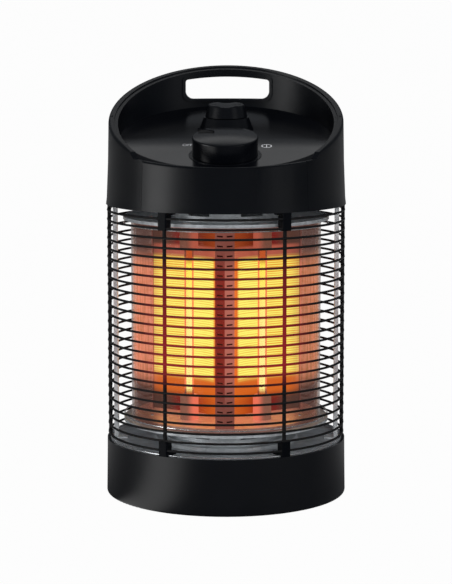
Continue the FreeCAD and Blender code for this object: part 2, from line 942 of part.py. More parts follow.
def control_knob():
    low = knob_low()
    high = low + knob_height
    shoulder = high - knob_dome
    dome_radius = (knob_radius ** 2 + knob_dome ** 2) / (2 * knob_dome)
    dome = Part.makeSphere(dome_radius, point(0, 0, high - dome_radius))
    body = disc(knob_radius, knob_height, low).common(dome)
    body = rounded(body, knob_edge_round, lambda edge: circle_at(edge, shoulder))
    hollow = tube(knob_radius - knob_wall, knob_radius - knob_wall - knob_hub_radius,
                  shoulder - knob_wall - low, low)
    bore = disc(shaft_radius + press_gap, shaft_bite, low)
    pointer_length = knob_radius - pointer_end_gap - pointer_inner
    pointer = block(pointer_length, pointer_width, high + pointer_rise - shoulder + knob_edge_round,
                    point(pointer_inner + pointer_length / 2, 0, shoulder - knob_edge_round))
    pointer.rotate(ORIGIN, UP, pointer_angle)
    return on_deck(body.fuse(pointer).cut([hollow, bore]), knob_forward)


def switch_shaft():
    low = -deck_thickness - switch_shaft_depth
    high = knob_low() + shaft_bite - seat_gap
    return on_deck(disc(shaft_radius, high - low, low), knob_forward)


def rotary_switch():
    body = block(switch_size, switch_size, switch_height, point(0, 0, -deck_thickness - switch_height))
    bush = disc(switch_bush_radius, deck_thickness, -deck_thickness)
    bore = disc(shaft_radius + running_gap, switch_shaft_depth + deck_thickness + seat_gap + overrun,
                -deck_thickness - switch_shaft_depth - seat_gap)
    return on_deck(body.fuse(bush).cut(bore), knob_forward)


# Hanging boss


def on_boss(shape):
    placed = shape.copy()
    placed.rotate(ORIGIN, RIGHT, boss_tilt)
    placed.translate(point(0, boss_back, deck_axis_z + deck_slope * boss_back))
    return placed


def hanger_boss():
    flare = (boss_foot_radius - boss_neck_radius) / boss_height
    cone = Part.makeCone(boss_foot_radius + flare * boss_sink, boss_neck_radius, boss_height + boss_sink,
                         point(0, 0, -boss_sink))
    spigot = disc(boss_spigot_radius, boss_spigot_height, boss_height)
    return on_boss(cone.fuse(spigot)).common(above_deck(0))


def hanger_cap():
    low = boss_height + boss_gap
    high = low + cap_height
    body = Part.makeCone(cap_skirt_radius, cap_top_radius, cap_height, point(0, 0, low))
    body = rounded(body, cap_edge_round, lambda edge: circle_at(edge, high))
    bore = disc(boss_spigot_radius + running_gap, boss_spigot_height + seat_gap - boss_gap, low)
    saddle = Part.makeCylinder(cap_saddle_radius, 2 * cap_skirt_radius,
                               point(0, -cap_skirt_radius, high + cap_saddle_radius - cap_saddle_depth),
                               point(0, 1, 0))
    return on_boss(body.cut([bore, saddle]))


# Electrics on the cap floor


def floor_top():
    return cap_floor_low + sheet


def terminal_block():
    return block(terminal_length, terminal_width, terminal_height, point(0, terminal_back, floor_top()))


def thermal_cutout():
    return disc(cutout_radius, cutout_height, floor_top()).translated(point(-cutout_side, -cutout_forward, 0))


def tilt_switch():
    return block(tilt_size, tilt_size, tilt_height, point(tilt_side, 0, floor_top()))


SINGLE_PARTS = {
    "base_housing": base_housing,
    "bottom_plate": bottom_plate,
    "bottom_screws": bottom_screws,
    "rubber_feet": rubber_feet,
    "cord_gland": cord_gland,
    "base_tray": base_tray,
    "tray_screws": tray_screws,
    "lower_collar": lower_collar,
    "upper_collar": upper_collar,
    "lower_plate": lower_plate,
    "upper_plate": upper_plate,
    "glass_tube": glass_tube,
    "guard_rings": guard_rings,
    "guard_uprights": guard_uprights,
    "upper_clips": upper_clips,
    "lower_clips": lower_clips,
    "cap_floor": cap_floor,
    "control_deck": control_deck,
    "knob_ring": knob_ring,
    "control_knob": control_knob,
    "switch_shaft": switch_shaft,
    "rotary_switch": rotary_switch,
    "hanger_boss": hanger_boss,
    "hanger_cap": hanger_cap,
    "terminal_block": terminal_block,
    "thermal_cutout": thermal_cutout,
    "tilt_switch": tilt_switch,
}

LAMP_PARTS = {
    "lamp_tube": lamp_tubes,
    "carbon_strip": carbon_strips,
    "upper_holder": upper_holders,
    "lower_holder": lower_holders,
    "reflector_panel": reflector_panels,
    "corner_strip": corner_strips,
}


def all_pieces():
    pieces = {name: make() for name, make in SINGLE_PARTS.items()}
    pieces["left_post"] = side_post(-1)
    pieces["right_post"] = side_post(1)
    pieces.update(housing_shells())
    for name, make in LAMP_PARTS.items():
        for index, piece in enumerate(make()):
            pieces[name + "_" + str(index + 1)] = piece
    return pieces


def main():
    os.makedirs("parts", exist_ok=True)
    for name, piece in all_pieces().items():
        piece.exportStep("parts/" + name + ".step")


main()
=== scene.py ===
import math

import bmesh
import bpy
from bpy.props import FloatProperty, FloatVectorProperty, IntProperty, PointerProperty
from bpy.types import Operator, Panel, PropertyGroup
from mathutils import Matrix, Vector
from mathutils.bvhtree import BVHTree


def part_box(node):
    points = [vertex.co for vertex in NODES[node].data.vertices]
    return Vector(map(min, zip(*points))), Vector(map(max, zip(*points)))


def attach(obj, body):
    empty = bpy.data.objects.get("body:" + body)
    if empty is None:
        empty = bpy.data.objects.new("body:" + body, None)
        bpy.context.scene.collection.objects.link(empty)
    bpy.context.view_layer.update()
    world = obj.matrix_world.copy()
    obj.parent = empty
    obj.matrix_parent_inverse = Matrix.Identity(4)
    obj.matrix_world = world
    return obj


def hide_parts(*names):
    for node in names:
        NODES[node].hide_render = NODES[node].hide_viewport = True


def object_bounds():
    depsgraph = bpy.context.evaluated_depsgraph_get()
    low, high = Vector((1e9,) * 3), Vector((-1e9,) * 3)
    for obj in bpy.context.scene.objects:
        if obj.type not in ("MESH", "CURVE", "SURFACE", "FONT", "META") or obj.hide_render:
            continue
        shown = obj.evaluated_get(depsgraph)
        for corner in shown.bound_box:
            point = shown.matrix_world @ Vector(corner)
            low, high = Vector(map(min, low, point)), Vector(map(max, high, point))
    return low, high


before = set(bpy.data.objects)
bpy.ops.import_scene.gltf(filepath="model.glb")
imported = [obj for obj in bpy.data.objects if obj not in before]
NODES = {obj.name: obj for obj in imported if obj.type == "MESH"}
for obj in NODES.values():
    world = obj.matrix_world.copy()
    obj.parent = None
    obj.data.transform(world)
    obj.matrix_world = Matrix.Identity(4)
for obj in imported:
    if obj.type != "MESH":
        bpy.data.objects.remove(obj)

bl_info = {
    "name": "Tabletop patio heater",
    "version": (1, 0, 0),
    "blender": (4, 5, 0),
    "location": "View3D > Sidebar > Heater",
    "description": "Dresses the packed heater with its finishes and fine pieces",
    "category": "Object",
}

MM = 0.001
BODY = "heater"
CAD_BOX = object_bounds()

# Lamps, the reflector's arms between them and the ribs behind them
LAMP_COUNT = 3
FIRST_TROUGH_ANGLE = 60.0
ARM_ANGLE = 360.0 / LAMP_COUNT
RIB_PITCH = 2.4 * MM

# Places on the heater, in metres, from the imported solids; a lamp stays dark close to its holders
GLASS_LOW, GLASS_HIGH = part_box("glass_tube")
RINGS_LOW, RINGS_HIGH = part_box("guard_rings")
RODS_LOW, RODS_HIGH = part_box("guard_uprights")
PLATE_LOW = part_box("lower_holder_1")[0].z
PLATE_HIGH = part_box("upper_holder_1")[1].z
DARK_BELOW, DARK_ABOVE = 10.5 * MM, 8.0 * MM
LIT_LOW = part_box("lower_holder_1")[1].z + DARK_BELOW
LIT_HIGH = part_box("upper_holder_1")[0].z - DARK_ABOVE

# Share of red, green and blue that passes one face of the glass, and the emission strength of the glow behind
# it: the carbon's own glow, and the painted glow that stands for the lamps' light on the parts round the
# carbon
GLASS_TINT = (0.86, 0.80, 0.78)
GLOW_STRENGTH = 1.8
UNLIT = (0.0, 0.0, 0.0)

# Own colours of the pieces inside the glass, most of which also carry painted glow; the quartz's dim glow
# colour is itself painted glow, for the tube beyond the lamp's lit length
GLASS_FACE = (0.05, 0.04, 0.035)
QUARTZ_CLEAR = (1.0, 0.97, 0.93)
QUARTZ_WALL = (0.25, 0.2, 0.18)
QUARTZ_DIM_PAINTED_GLOW = (0.10, 0.02, 0.012)
CARBON_BLACK = (0.03, 0.03, 0.03)
REFLECTOR_METAL = (0.05, 0.04, 0.035)
STRIP_METAL = (0.06, 0.045, 0.04)

# Painted glow of the troughs, which stands for the lamps' light on the reflector, beside the front arm and
# beyond the lit length of the lamps
TROUGH_PAINTED_GLOW = {
    "beside_arm": (0.75, 0.12, 0.015),
    "outer_edge": (0.085, 0.038, 0.028),
    "low_middle": (0.54, 0.09, 0.008),
    "low_side": (0.36, 0.035, 0.004),
    "high_middle": (0.26, 0.04, 0.008),
    "high_side": (0.14, 0.012, 0.004),
    "low_band": (0.68, 0.13, 0.012),
    "high_band": (0.50, 0.12, 0.075),
}

# Depth of the grain that the mould leaves on plastic
FINE_GRAIN, MOULD_GRAIN, COARSE_GRAIN = 0.00001, 0.00002, 0.00003


def polar(radius, angle, z=0.0):
    """Point at an angle in degrees from the front, growing towards the right-hand side."""
    turn = math.radians(angle)
    return Vector((radius * math.sin(turn), -radius * math.cos(turn), z))


# Shader nodes


class Signal:
    """One output socket of a finish; arithmetic on it adds Math nodes."""

    def __init__(self, finish, socket):
        self.finish = finish
        self.socket = socket

    def maths(self, operation, first, second=0.0):
        return self.finish.node("ShaderNodeMath", {"operation": operation}, {0: first, 1: second})

    def __add__(self, other):
        return self.maths("ADD", self, other)

    __radd__ = __add__

    def __sub__(self, other):
        return self.maths("SUBTRACT", self, other)

    def __rsub__(self, other):
        return self.maths("SUBTRACT", other, self)

    def __mul__(self, other):
        return self.maths("MULTIPLY", self, other)

    __rmul__ = __mul__

    def __truediv__(self, other):
        return self.maths("DIVIDE", self, other)

    def __rtruediv__(self, other):
        return self.maths("DIVIDE", other, self)

    def __pow__(self, other):
        return self.maths("POWER", self, other)

    def __rpow__(self, other):
        return self.maths("POWER", other, self)

    def sine(self):
        return self.maths("SINE", self)

    def size(self):
        return self.maths("ABSOLUTE", self)

    def least(self, other):
        return self.maths("MINIMUM", self, other)

    def most(self, other):
        return self.maths("MAXIMUM", self, other)

    def sway(self, amount):
        """Turns a share from 0 to 1 into a change of up to half the amount either way."""
        return (self - 0.5) * amount

    def rise(self, start, end):
        """0 before start, 1 after end, smooth between; start may be the larger one."""
        return self.finish.node("ShaderNodeMapRange", {"interpolation_type": "SMOOTHSTEP"},
                                {"Value": self, "From Min": start, "From Max": end})


class Finish:
    """The nodes of a material, or of the world, and the one method that adds to them."""

    def __init__(self, name, world=False):
        self.owner = (bpy.data.worlds if world else bpy.data.materials).new(name)
        self.owner.use_nodes = True
        self.tree = self.owner.node_tree
        self.tree.nodes.clear()
        self.end = "ShaderNodeOutputWorld" if world else "ShaderNodeOutputMaterial"

    def node(self, kind, settings=None, sockets=None, output=0):
        """Adds a node, sets its settings and then its sockets, and gives one of its outputs."""
        node = self.tree.nodes.new(kind)
        for name, value in (settings or {}).items():
            setattr(node, name, value)
        for name, value in (sockets or {}).items():
            if isinstance(value, Signal):
                self.tree.links.new(value.socket, node.inputs[name])
            else:
                node.inputs[name].default_value = value
        return Signal(self, node.outputs[output]) if node.outputs else None

    def show(self, shader):
        """Ends the nodes with this shader and gives the material or world that they are in."""
        self.node(self.end, None, {"Surface": shader})
        return self.owner

    def place(self):
        """The point's place on the heater and its three coordinates, in metres."""
        spot = self.node("ShaderNodeTexCoord", output="Object")
        return spot, [self.node("ShaderNodeSeparateXYZ", None, {0: spot}, axis) for axis in "XYZ"]

    def noise(self, spot, scale, detail=2.0, rough=0.5):
        return self.node("ShaderNodeTexNoise", None,
                         {"Vector": spot, "Scale": scale, "Detail": detail, "Roughness": rough})

    def blend(self, share, first, second):
        """Colour that goes from first to second as share goes from 0 to 1."""
        return self.node("ShaderNodeMix", {"data_type": "RGBA"},
                         {"Factor": share, "A": first, "B": second}, "Result")

    def mottled(self, share, colour, dark, pale):
        """The colour, made dark to pale times as bright as share goes from 0 to 1."""
        return self.blend(share, rgba(colour, dark), rgba(colour, pale))

    def bump(self, height, distance):
        return self.node("ShaderNodeBump", None, {"Height": height, "Distance": distance, "Strength": 1.0})

    def aslant(self):
        """0 where a face is seen from straight ahead, 1 at its outline."""
        return self.node("ShaderNodeLayerWeight", None, {"Blend": 0.5}, "Facing")

    def ray(self, kind):
        """1 for rays of a kind, such as Camera, and 0 for all others."""
        return self.node("ShaderNodeLightPath", output=f"Is {kind} Ray")

    def surface(self, sockets):
        return self.node("ShaderNodeBsdfPrincipled", None, sockets)

    def coat(self, sockets):
        """Ends the nodes with a plain surface."""
        return self.show(self.surface(sockets))

    def matt(self, colour):
        return self.node("ShaderNodeBsdfDiffuse", None, {"Color": colour})

    def clear(self, colour):
        return self.node("ShaderNodeBsdfTransparent", None, {"Color": rgba(colour)})

    def between(self, share, first, second):
        """Shader that goes from first to second as share goes from 0 to 1."""
        return self.node("ShaderNodeMixShader", None, {0: share, 1: first, 2: second})


def rgba(colour, scale=1.0):
    return tuple(part * scale for part in colour) + (1.0,)


def through(colour, scale=1.0):
    """Glow that shows as this colour when it is seen through the front of the glass."""
    return tuple(part * scale / (tint * tint * GLOW_STRENGTH)
                 for part, tint in zip(colour, GLASS_TINT)) + (1.0,)


def axis_distance(x, y):
    return (x * x + y * y) ** 0.5


def lit_zone(z, low, high):
    """Share of the lamps' light at a height; each pair starts and ends a rise by an end of the lit length."""
    return z.rise(LIT_LOW + low[0], LIT_LOW + low[1]) * z.rise(LIT_HIGH + high[0], LIT_HIGH + high[1])


FINISHES = {}


def finish_once(name, make, **values):
    """The material of that name, made the first time that it is asked for."""
    if name not in FINISHES:
        FINISHES[name] = make(Finish(name), **values)
    return FINISHES[name]


def moulded(finish, colour, rough, grain, gloss, swell=None, matt_zone=None):
    """Moulded plastic with fine grain and slightly uneven gloss, maybe with a swell and a matt zone."""
    spot, axes = finish.place()
    grit = finish.noise(spot, scale=2600.0, detail=3.0, rough=0.6)
    cloud = finish.noise(spot, scale=26.0, detail=3.0)
    if swell:
        relief = finish.bump(grit * grain + swell(*axes), distance=1.0)
    else:
        relief = finish.bump(grit, distance=grain)
    shader = finish.surface({
        "Base Color": finish.mottled(cloud, colour, 0.75, 1.3),
        "Roughness": rough + cloud.sway(0.10) + grit.sway(0.06),
        "Specular IOR Level": gloss,
        "Normal": relief,
    })
    if matt_zone:
        shader = finish.between(matt_zone(*axes), shader, finish.matt(rgba(colour)))
    return finish.show(shader)


def crowned(finish, colour, rough, gloss, start, end, bend, border):
    """Glossy moulded plastic whose face curves down a little towards its matt front border."""
    spot, (x, y, _) = finish.place()
    cloud = finish.noise(spot, scale=26.0, detail=3.0)
    curved = (start - y).most(0.0).least(start - end)
    straight = (end - y).most(0.0) * (2.0 * (start - end))
    matt = axis_distance(x, y).rise(border - 2.0 * MM, border + 1.0 * MM) * y.rise(start, end)
    return finish.coat({
        "Base Color": finish.mottled(cloud, colour, 0.8, 1.2),
        "Roughness": rough + cloud.sway(0.06) + matt * 0.6,
        "Specular IOR Level": gloss,
        "Normal": finish.bump((curved * curved + straight) * -bend, distance=1.0),
    })


def rubber(finish, colour):
    """Dull rubber with a coarse grain."""
    spot, _ = finish.place()
    grit = finish.noise(spot, scale=1500.0, detail=4.0, rough=0.7)
    return finish.coat({
        "Base Color": finish.mottled(grit, colour, 0.7, 1.5),
        "Roughness": 0.75 + grit.sway(0.2),
        "Specular IOR Level": 0.3,
        "Normal": finish.bump(grit, distance=0.00008),
    })


def galvanised(finish, colour, glow=UNLIT):
    """Zinc-coated sheet: spangle crystals, each with its own shade, and maybe a painted glow, standing for
    the lamps' light, where the sheet is inside the glass.
    """
    spot, (x, y, z) = finish.place()
    # Painted glow: the part of the sheet inside the glass and between the plates takes emission that stands
    # for the lamps' light
    inside = axis_distance(x, y).rise(GLASS_HIGH.x - 2.0 * MM, GLASS_HIGH.x - 5.0 * MM)
    inside = inside * z.rise(PLATE_LOW - 0.5 * MM, PLATE_LOW - 0.2 * MM)
    inside = inside * z.rise(PLATE_HIGH + 0.5 * MM, PLATE_HIGH + 0.2 * MM)
    bent = finish.noise(spot, scale=220.0, detail=3.0)
    crystal = finish.node("ShaderNodeTexVoronoi", {"feature": "F1"},
                          {"Vector": spot, "Scale": 150.0, "Randomness": 1.0}, "Color")
    shade = finish.node("ShaderNodeSeparateColor", None, {"Color": crystal}, "Red")
    streak = finish.noise(spot, scale=900.0)
    tone = shade * 0.6 + bent * 0.4
    return finish.coat({
        "Base Color": finish.mottled(tone, colour, 0.72, 1.18),
        "Metallic": 0.5,
        "Roughness": 0.34 + shade * 0.14 + streak.sway(0.1),
        "Emission Color": finish.blend(inside * (0.6 + 0.7 * bent), rgba(UNLIT), through(glow)),
        "Emission Strength": GLOW_STRENGTH,
        "Normal": finish.bump(tone * 0.6 + streak * 0.4, distance=0.00004),
    })


def bright_metal(finish, colour, rough):
    """Plated or turned metal with fine marks and uneven wear."""
    spot, _ = finish.place()
    fine = finish.noise(spot, scale=1800.0)
    wear = finish.noise(spot, scale=160.0, detail=4.0)
    return finish.coat({
        "Base Color": finish.mottled(wear, colour, 0.7, 1.1),
        "Metallic": 0.9,
        "Roughness": rough + wear.sway(0.2),
        "Normal": finish.bump(fine, distance=0.00003),
    })


def guard_enamel_and_glow(finish, colour, glow):
    """Black enamel on the wires, with a painted red glow before the lamps that stands for their light, more
    of it low down and less in the middle.
    """
    spot, (x, _, z) = finish.place()
    drip = finish.noise(spot, scale=700.0, detail=3.0)
    # Painted glow: red emission on the wires in the lamps' lit length, standing for their light
    low, high = (10.0 * MM, 38.0 * MM), (14.0 * MM, -14.0 * MM)
    lit = lit_zone(z, low, high) * (0.5 + 0.5 * z.rise(LIT_HIGH, LIT_LOW + low[1]))
    across = x.size()
    aside = 0.4 + 0.6 * across.rise(8.0 * MM, 16.0 * MM)
    warm = lit * across.rise(95.0 * MM, 60.0 * MM) * aside
    return finish.coat({
        "Base Color": finish.mottled(drip, colour, 0.7, 1.4),
        "Roughness": 0.5 + drip.sway(0.16),
        "Specular IOR Level": 0.15,
        "Emission Color": finish.blend(warm, rgba(UNLIT), rgba(glow)),
        "Emission Strength": 1.0,
        "Normal": finish.bump(drip, distance=0.00006),
    })


def tinted_glass(finish, warm, brown, dull, rim):
    """Tinted sleeve: clear from straight ahead, with a haze of painted glow, standing for the lamps' light in
    the glass, where it is seen aslant, and a painted grey reflection at its outline.
    """
    _, (x, y, z) = finish.place()
    drawn = finish.node("ShaderNodeCombineXYZ", None, {0: x * 260.0, 1: y * 260.0, 2: z * 30.0})
    film = finish.noise(drawn, scale=1.0, detail=3.0)
    lit = lit_zone(z, (1.0 * MM, 21.0 * MM), (12.0 * MM, -8.0 * MM))
    edge = finish.aslant()
    # Painted glow: the haze is browner in patches and towards the right-hand side, and dull beyond the lamps'
    # lit length
    browned = film.rise(0.42, 0.60) * 0.7 + x.rise(20.0 * MM, 90.0 * MM) * 0.45
    haze = finish.blend(lit, rgba(dull), finish.blend(browned, rgba(warm), rgba(brown)))
    face = finish.surface({
        "Base Color": rgba(GLASS_FACE),
        "Roughness": 0.06 + film * 0.04,
        "Specular IOR Level": 0.5,
        "Emission Color": finish.blend(edge.rise(0.70, 0.92), haze, rgba(rim)),
        "Emission Strength": 1.0,
    })
    share = 0.02 + 0.55 * edge.rise(0.24, 0.50)
    return finish.show(finish.between(share, finish.clear(GLASS_TINT), face))


def quartz(finish, glow):
    """Clear lamp tube whose wall carries painted glow that stands for the carbon's light in the quartz, an
    orange line on each side of the carbon.
    """
    _, (_, _, z) = finish.place()
    lit = lit_zone(z, (-8.0 * MM, 0.0), (2.0 * MM, -4.0 * MM))
    wall = finish.surface({
        "Base Color": rgba(QUARTZ_WALL),
        "Roughness": 0.06,
        "Emission Color": finish.blend(lit, through(QUARTZ_DIM_PAINTED_GLOW), through(glow)),
        "Emission Strength": GLOW_STRENGTH,
    })
    share = finish.aslant().rise(0.30, 0.46) * 0.9 + 0.02
    return finish.show(finish.between(share, finish.clear(QUARTZ_CLEAR), wall))


def hot_carbon(finish, hot, hottest, dull):
    """Woven carbon ribbon, hotter towards its lower end and dull at the seals."""
    spot, (_, _, z) = finish.place()
    weave = finish.noise(spot, scale=1400.0)
    lit = lit_zone(z, (-10.0 * MM, -2.0 * MM), (0.0, -10.0 * MM))
    hottest_below = (LIT_LOW + LIT_HIGH) / 2 - 20.0 * MM
    warmth = z.rise(LIT_HIGH, hottest_below) * (0.85 + 0.3 * weave)
    heat = finish.blend(warmth, through(hot), through(hottest))
    return finish.coat({
        "Base Color": rgba(CARBON_BLACK),
        "Roughness": 0.8,
        "Emission Color": finish.blend(lit, through(dull), heat),
        "Emission Strength": GLOW_STRENGTH,
    })


def ceramic(finish, colour, glow):
    """Unglazed lamp holder with painted glow that stands for the lamps' light: a dim glow of its own colour,
    the full glow on its inner side, and less of it at the top.
    """
    spot, (x, _, z) = finish.place()
    pore = finish.noise(spot, scale=900.0, detail=4.0, rough=0.7)
    warm = x.size().rise(42.0 * MM, 33.0 * MM)
    dim = z.rise(LIT_LOW, LIT_HIGH) * 0.6
    glowing = finish.blend(warm, through(colour, 0.7), through(glow))
    return finish.coat({
        "Base Color": finish.mottled(pore, colour, 0.85, 1.05),
        "Roughness": 0.6 + pore.sway(0.2),
        "Emission Color": finish.blend(dim, glowing, through(colour, 0.3)),
        "Emission Strength": GLOW_STRENGTH,
        "Normal": finish.bump(pore, distance=0.00006),
    })


def reflector_sheet(finish, bright, deep, dark):
    """Ribbed aluminium behind a lamp, with painted glow that stands for the lamp's light on it: yellow beside
    the lamp, with painted highlight and shade on the ribs, orange to dark red beyond its ends.
    """
    spot, (x, _, z) = finish.place()
    glow = {part: through(colour) for part, colour in TROUGH_PAINTED_GLOW.items()}
    across = x.size()
    ribs = (z * (2.0 * math.pi / RIB_PITCH)).sine()
    streak = finish.node("ShaderNodeTexNoise", {"noise_dimensions": "1D"},
                         {"W": z * 420.0, "Scale": 1.0, "Detail": 3.0})
    patch = finish.noise(spot, scale=60.0)
    # Painted highlight and shade across the ribs; the painted glow is dimmer towards the top and brighter
    # towards the middle
    dimming_towards_top = z.rise(LIT_HIGH - 35.0 * MM, LIT_HIGH) * 0.35
    inner = across.rise(44.0 * MM, 34.0 * MM) * 0.3
    shine = 0.62 + 0.5 * ribs + streak.sway(0.9) + patch.sway(0.5) - dimming_towards_top + inner
    hot = finish.blend(shine, through(deep), through(bright))
    hot = finish.blend(across.rise(14.5 * MM, 11.5 * MM), hot, glow["beside_arm"])

    # Painted glow beyond the lamp's lit length, with brighter bands near its ends
    aside = across.rise(12.0 * MM, 34.0 * MM)
    low_amber = finish.blend(aside, glow["low_middle"], glow["low_side"])
    high_amber = finish.blend(aside, glow["high_middle"], glow["high_side"])
    amber = finish.blend(z.rise(LIT_LOW, LIT_HIGH), low_amber, high_amber)
    outer = finish.blend(across.rise(50.0 * MM, 66.0 * MM), through(dark), glow["outer_edge"])
    beyond = finish.blend(across.rise(44.0 * MM, 36.0 * MM), outer, amber)
    low_band = z.rise(LIT_LOW - 24.0 * MM, LIT_LOW - 12.0 * MM) * z.rise(LIT_LOW + 20.0 * MM, LIT_LOW)
    beyond = finish.blend(low_band * 0.9, beyond, glow["low_band"])
    high_band = z.rise(LIT_HIGH - 12.0 * MM, LIT_HIGH - 2.0 * MM)
    high_band = high_band * z.rise(LIT_HIGH + 10.0 * MM, LIT_HIGH + 6.0 * MM)
    beyond = finish.blend(high_band * (0.45 + 0.5 * patch), beyond, glow["high_band"])

    lit = lit_zone(z, (-3.0 * MM, 7.0 * MM), (-1.0 * MM, -9.0 * MM))
    return finish.coat({
        "Base Color": rgba(REFLECTOR_METAL),
        "Metallic": 0.9,
        "Roughness": 0.3 + streak.sway(0.1),
        "Emission Color": finish.blend(lit, beyond, hot),
        "Emission Strength": GLOW_STRENGTH,
    })


def shaded_metal(finish, colour):
    """Rear of the reflector's sheet and the dark sheet behind its slots, away from the lamps, in painted
    shade: a darker, redder copy of the reflector's metal.
    """
    spot, _ = finish.place()
    cloud = finish.noise(spot, scale=70.0, detail=3.0)
    return finish.coat({
        "Base Color": finish.mottled(cloud, colour, 0.7, 1.3),
        "Metallic": 0.6,
        "Roughness": 0.5 + cloud.sway(0.2),
    })


def corner_metal(finish, warm, pale, dark):
    """Slotted strip on an arm's tip, with painted glow that stands for the lamps' light: the front one is
    painted dark, as shade, left of its edge and pale, as light, right of it.
    """
    spot, (x, y, z) = finish.place()
    cloud = finish.noise(spot, scale=45.0, detail=3.0)
    lit = lit_zone(z, (-20.0 * MM, 30.0 * MM), (20.0 * MM, -20.0 * MM))
    front = finish.blend(x.rise(-0.4 * MM, 0.4 * MM), through(dark), through(pale))
    face = finish.blend(y.rise(-60.0 * MM, -30.0 * MM), front, through(warm))
    return finish.coat({
        "Base Color": rgba(STRIP_METAL),
        "Metallic": 0.8,
        "Roughness": 0.4 + cloud.sway(0.2),
        "Emission Color": finish.blend(lit * (0.75 + 0.5 * cloud), through(pale, 0.45), face),
        "Emission Strength": GLOW_STRENGTH,
    })


def printed(finish, colour):
    """Pad-printed ink of slightly uneven cover."""
    spot, _ = finish.place()
    thin = finish.noise(spot, scale=1700.0)
    return finish.coat({
        "Base Color": finish.mottled(thin, colour, 0.8, 1.0),
        "Roughness": 0.5 + thin.sway(0.2),
    })


# Pieces

JOIN_WITHIN = 0.002 * MM
NODE_SHARP_ANGLE = math.radians(28.0)


def dress(material, *nodes):
    """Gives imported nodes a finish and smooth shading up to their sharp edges."""
    for name in nodes:
        node = NODES[name]
        if not node.material_slots:
            node.data.materials.append(material)
        for slot in node.material_slots:
            slot.material = material
        node.modifiers.new("joined_facets", "WELD").merge_threshold = JOIN_WITHIN
        node.data.shade_smooth()
        node.modifiers.new("sharp_edges", "EDGE_SPLIT").split_angle = NODE_SHARP_ANGLE


def link(made):
    bpy.context.scene.collection.objects.link(made)


def piece(name, verts, faces, material, slot, replaces=(), sharp=35.0):
    """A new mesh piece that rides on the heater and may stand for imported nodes."""
    mesh = bpy.data.meshes.new(name)
    mesh.from_pydata([tuple(vert) for vert in verts], [], faces)
    mesh.validate()
    tidy = bmesh.new()
    tidy.from_mesh(mesh)
    bmesh.ops.recalc_face_normals(tidy, faces=tidy.faces)
    tidy.to_mesh(mesh)
    tidy.free()
    mesh.shade_smooth()
    mesh.set_sharp_from_angle(angle=math.radians(sharp))
    mesh.materials.append(material)
    made = bpy.data.objects.new(name, mesh)
    link(made)
    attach(made, BODY)
    if replaces:
        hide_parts(*replaces)
    return made


def grid_faces(rows, columns, round_rows=False, round_columns=False):
    """Quads over a grid of points kept row by row, closed round either way where wanted."""
    faces = []
    for row in range(rows if round_rows else rows - 1):
        for column in range(columns if round_columns else columns - 1):
            below = row * columns
            above = (row + 1) % rows * columns
            after = (column + 1) % columns
            faces.append((below + column, below + after, above + after, above + column))
    return faces


def bar_faces(rows, columns):
    """Quads round a bar whose sections are kept row by row, and the faces that close its two ends."""
    last = (rows - 1) * columns
    ends = [tuple(range(columns)), tuple(range(last, last + columns))]
    return grid_faces(rows, columns, round_columns=True) + ends


def circle(radius, steps, out=0.0, up=0.0):
    """Points (out, up) of a circle's outline round a middle."""
    turns = [2 * math.pi * step / steps for step in range(steps)]
    return [(out + radius * math.cos(turn), up + radius * math.sin(turn)) for turn in turns]


def lathe(profile, steps):
    """Points and faces of a closed outline of (radius, height) turned round the axis."""
    verts = [polar(radius, 360.0 * step / steps, height)
             for radius, height in profile for step in range(steps)]
    return verts, grid_faces(len(profile), steps, round_rows=True, round_columns=True)


def joined(parts):
    """Several (points, faces) pairs as one."""
    verts, faces = [], []
    for part_verts, part_faces in parts:
        start = len(verts)
        verts.extend(part_verts)
        faces.extend(tuple(corner + start for corner in face) for face in part_faces)
    return verts, faces


def moved(part, matrix):
    """The same points and faces after a move or a turn."""
    verts, faces = part
    return [matrix @ Vector(vert) for vert in verts], faces


def solid_tree(name):
    """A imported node's faces, ready for rays."""
    mesh = NODES[name].data
    return BVHTree.FromPolygons([vert.co for vert in mesh.vertices],
                                [tuple(face.vertices) for face in mesh.polygons])


def settings(context):
    return context.scene.heater


# Sizes and colours that a user would change


def length(name, description, default):
    return FloatProperty(name=name, description=description, default=default, unit="LENGTH")


def swing(name, description, degrees):
    return FloatProperty(name=name, description=description, default=math.radians(degrees), subtype="ANGLE")


def tint(name, description, *default):
    return FloatVectorProperty(name=name, description=description, default=default, subtype="COLOR")


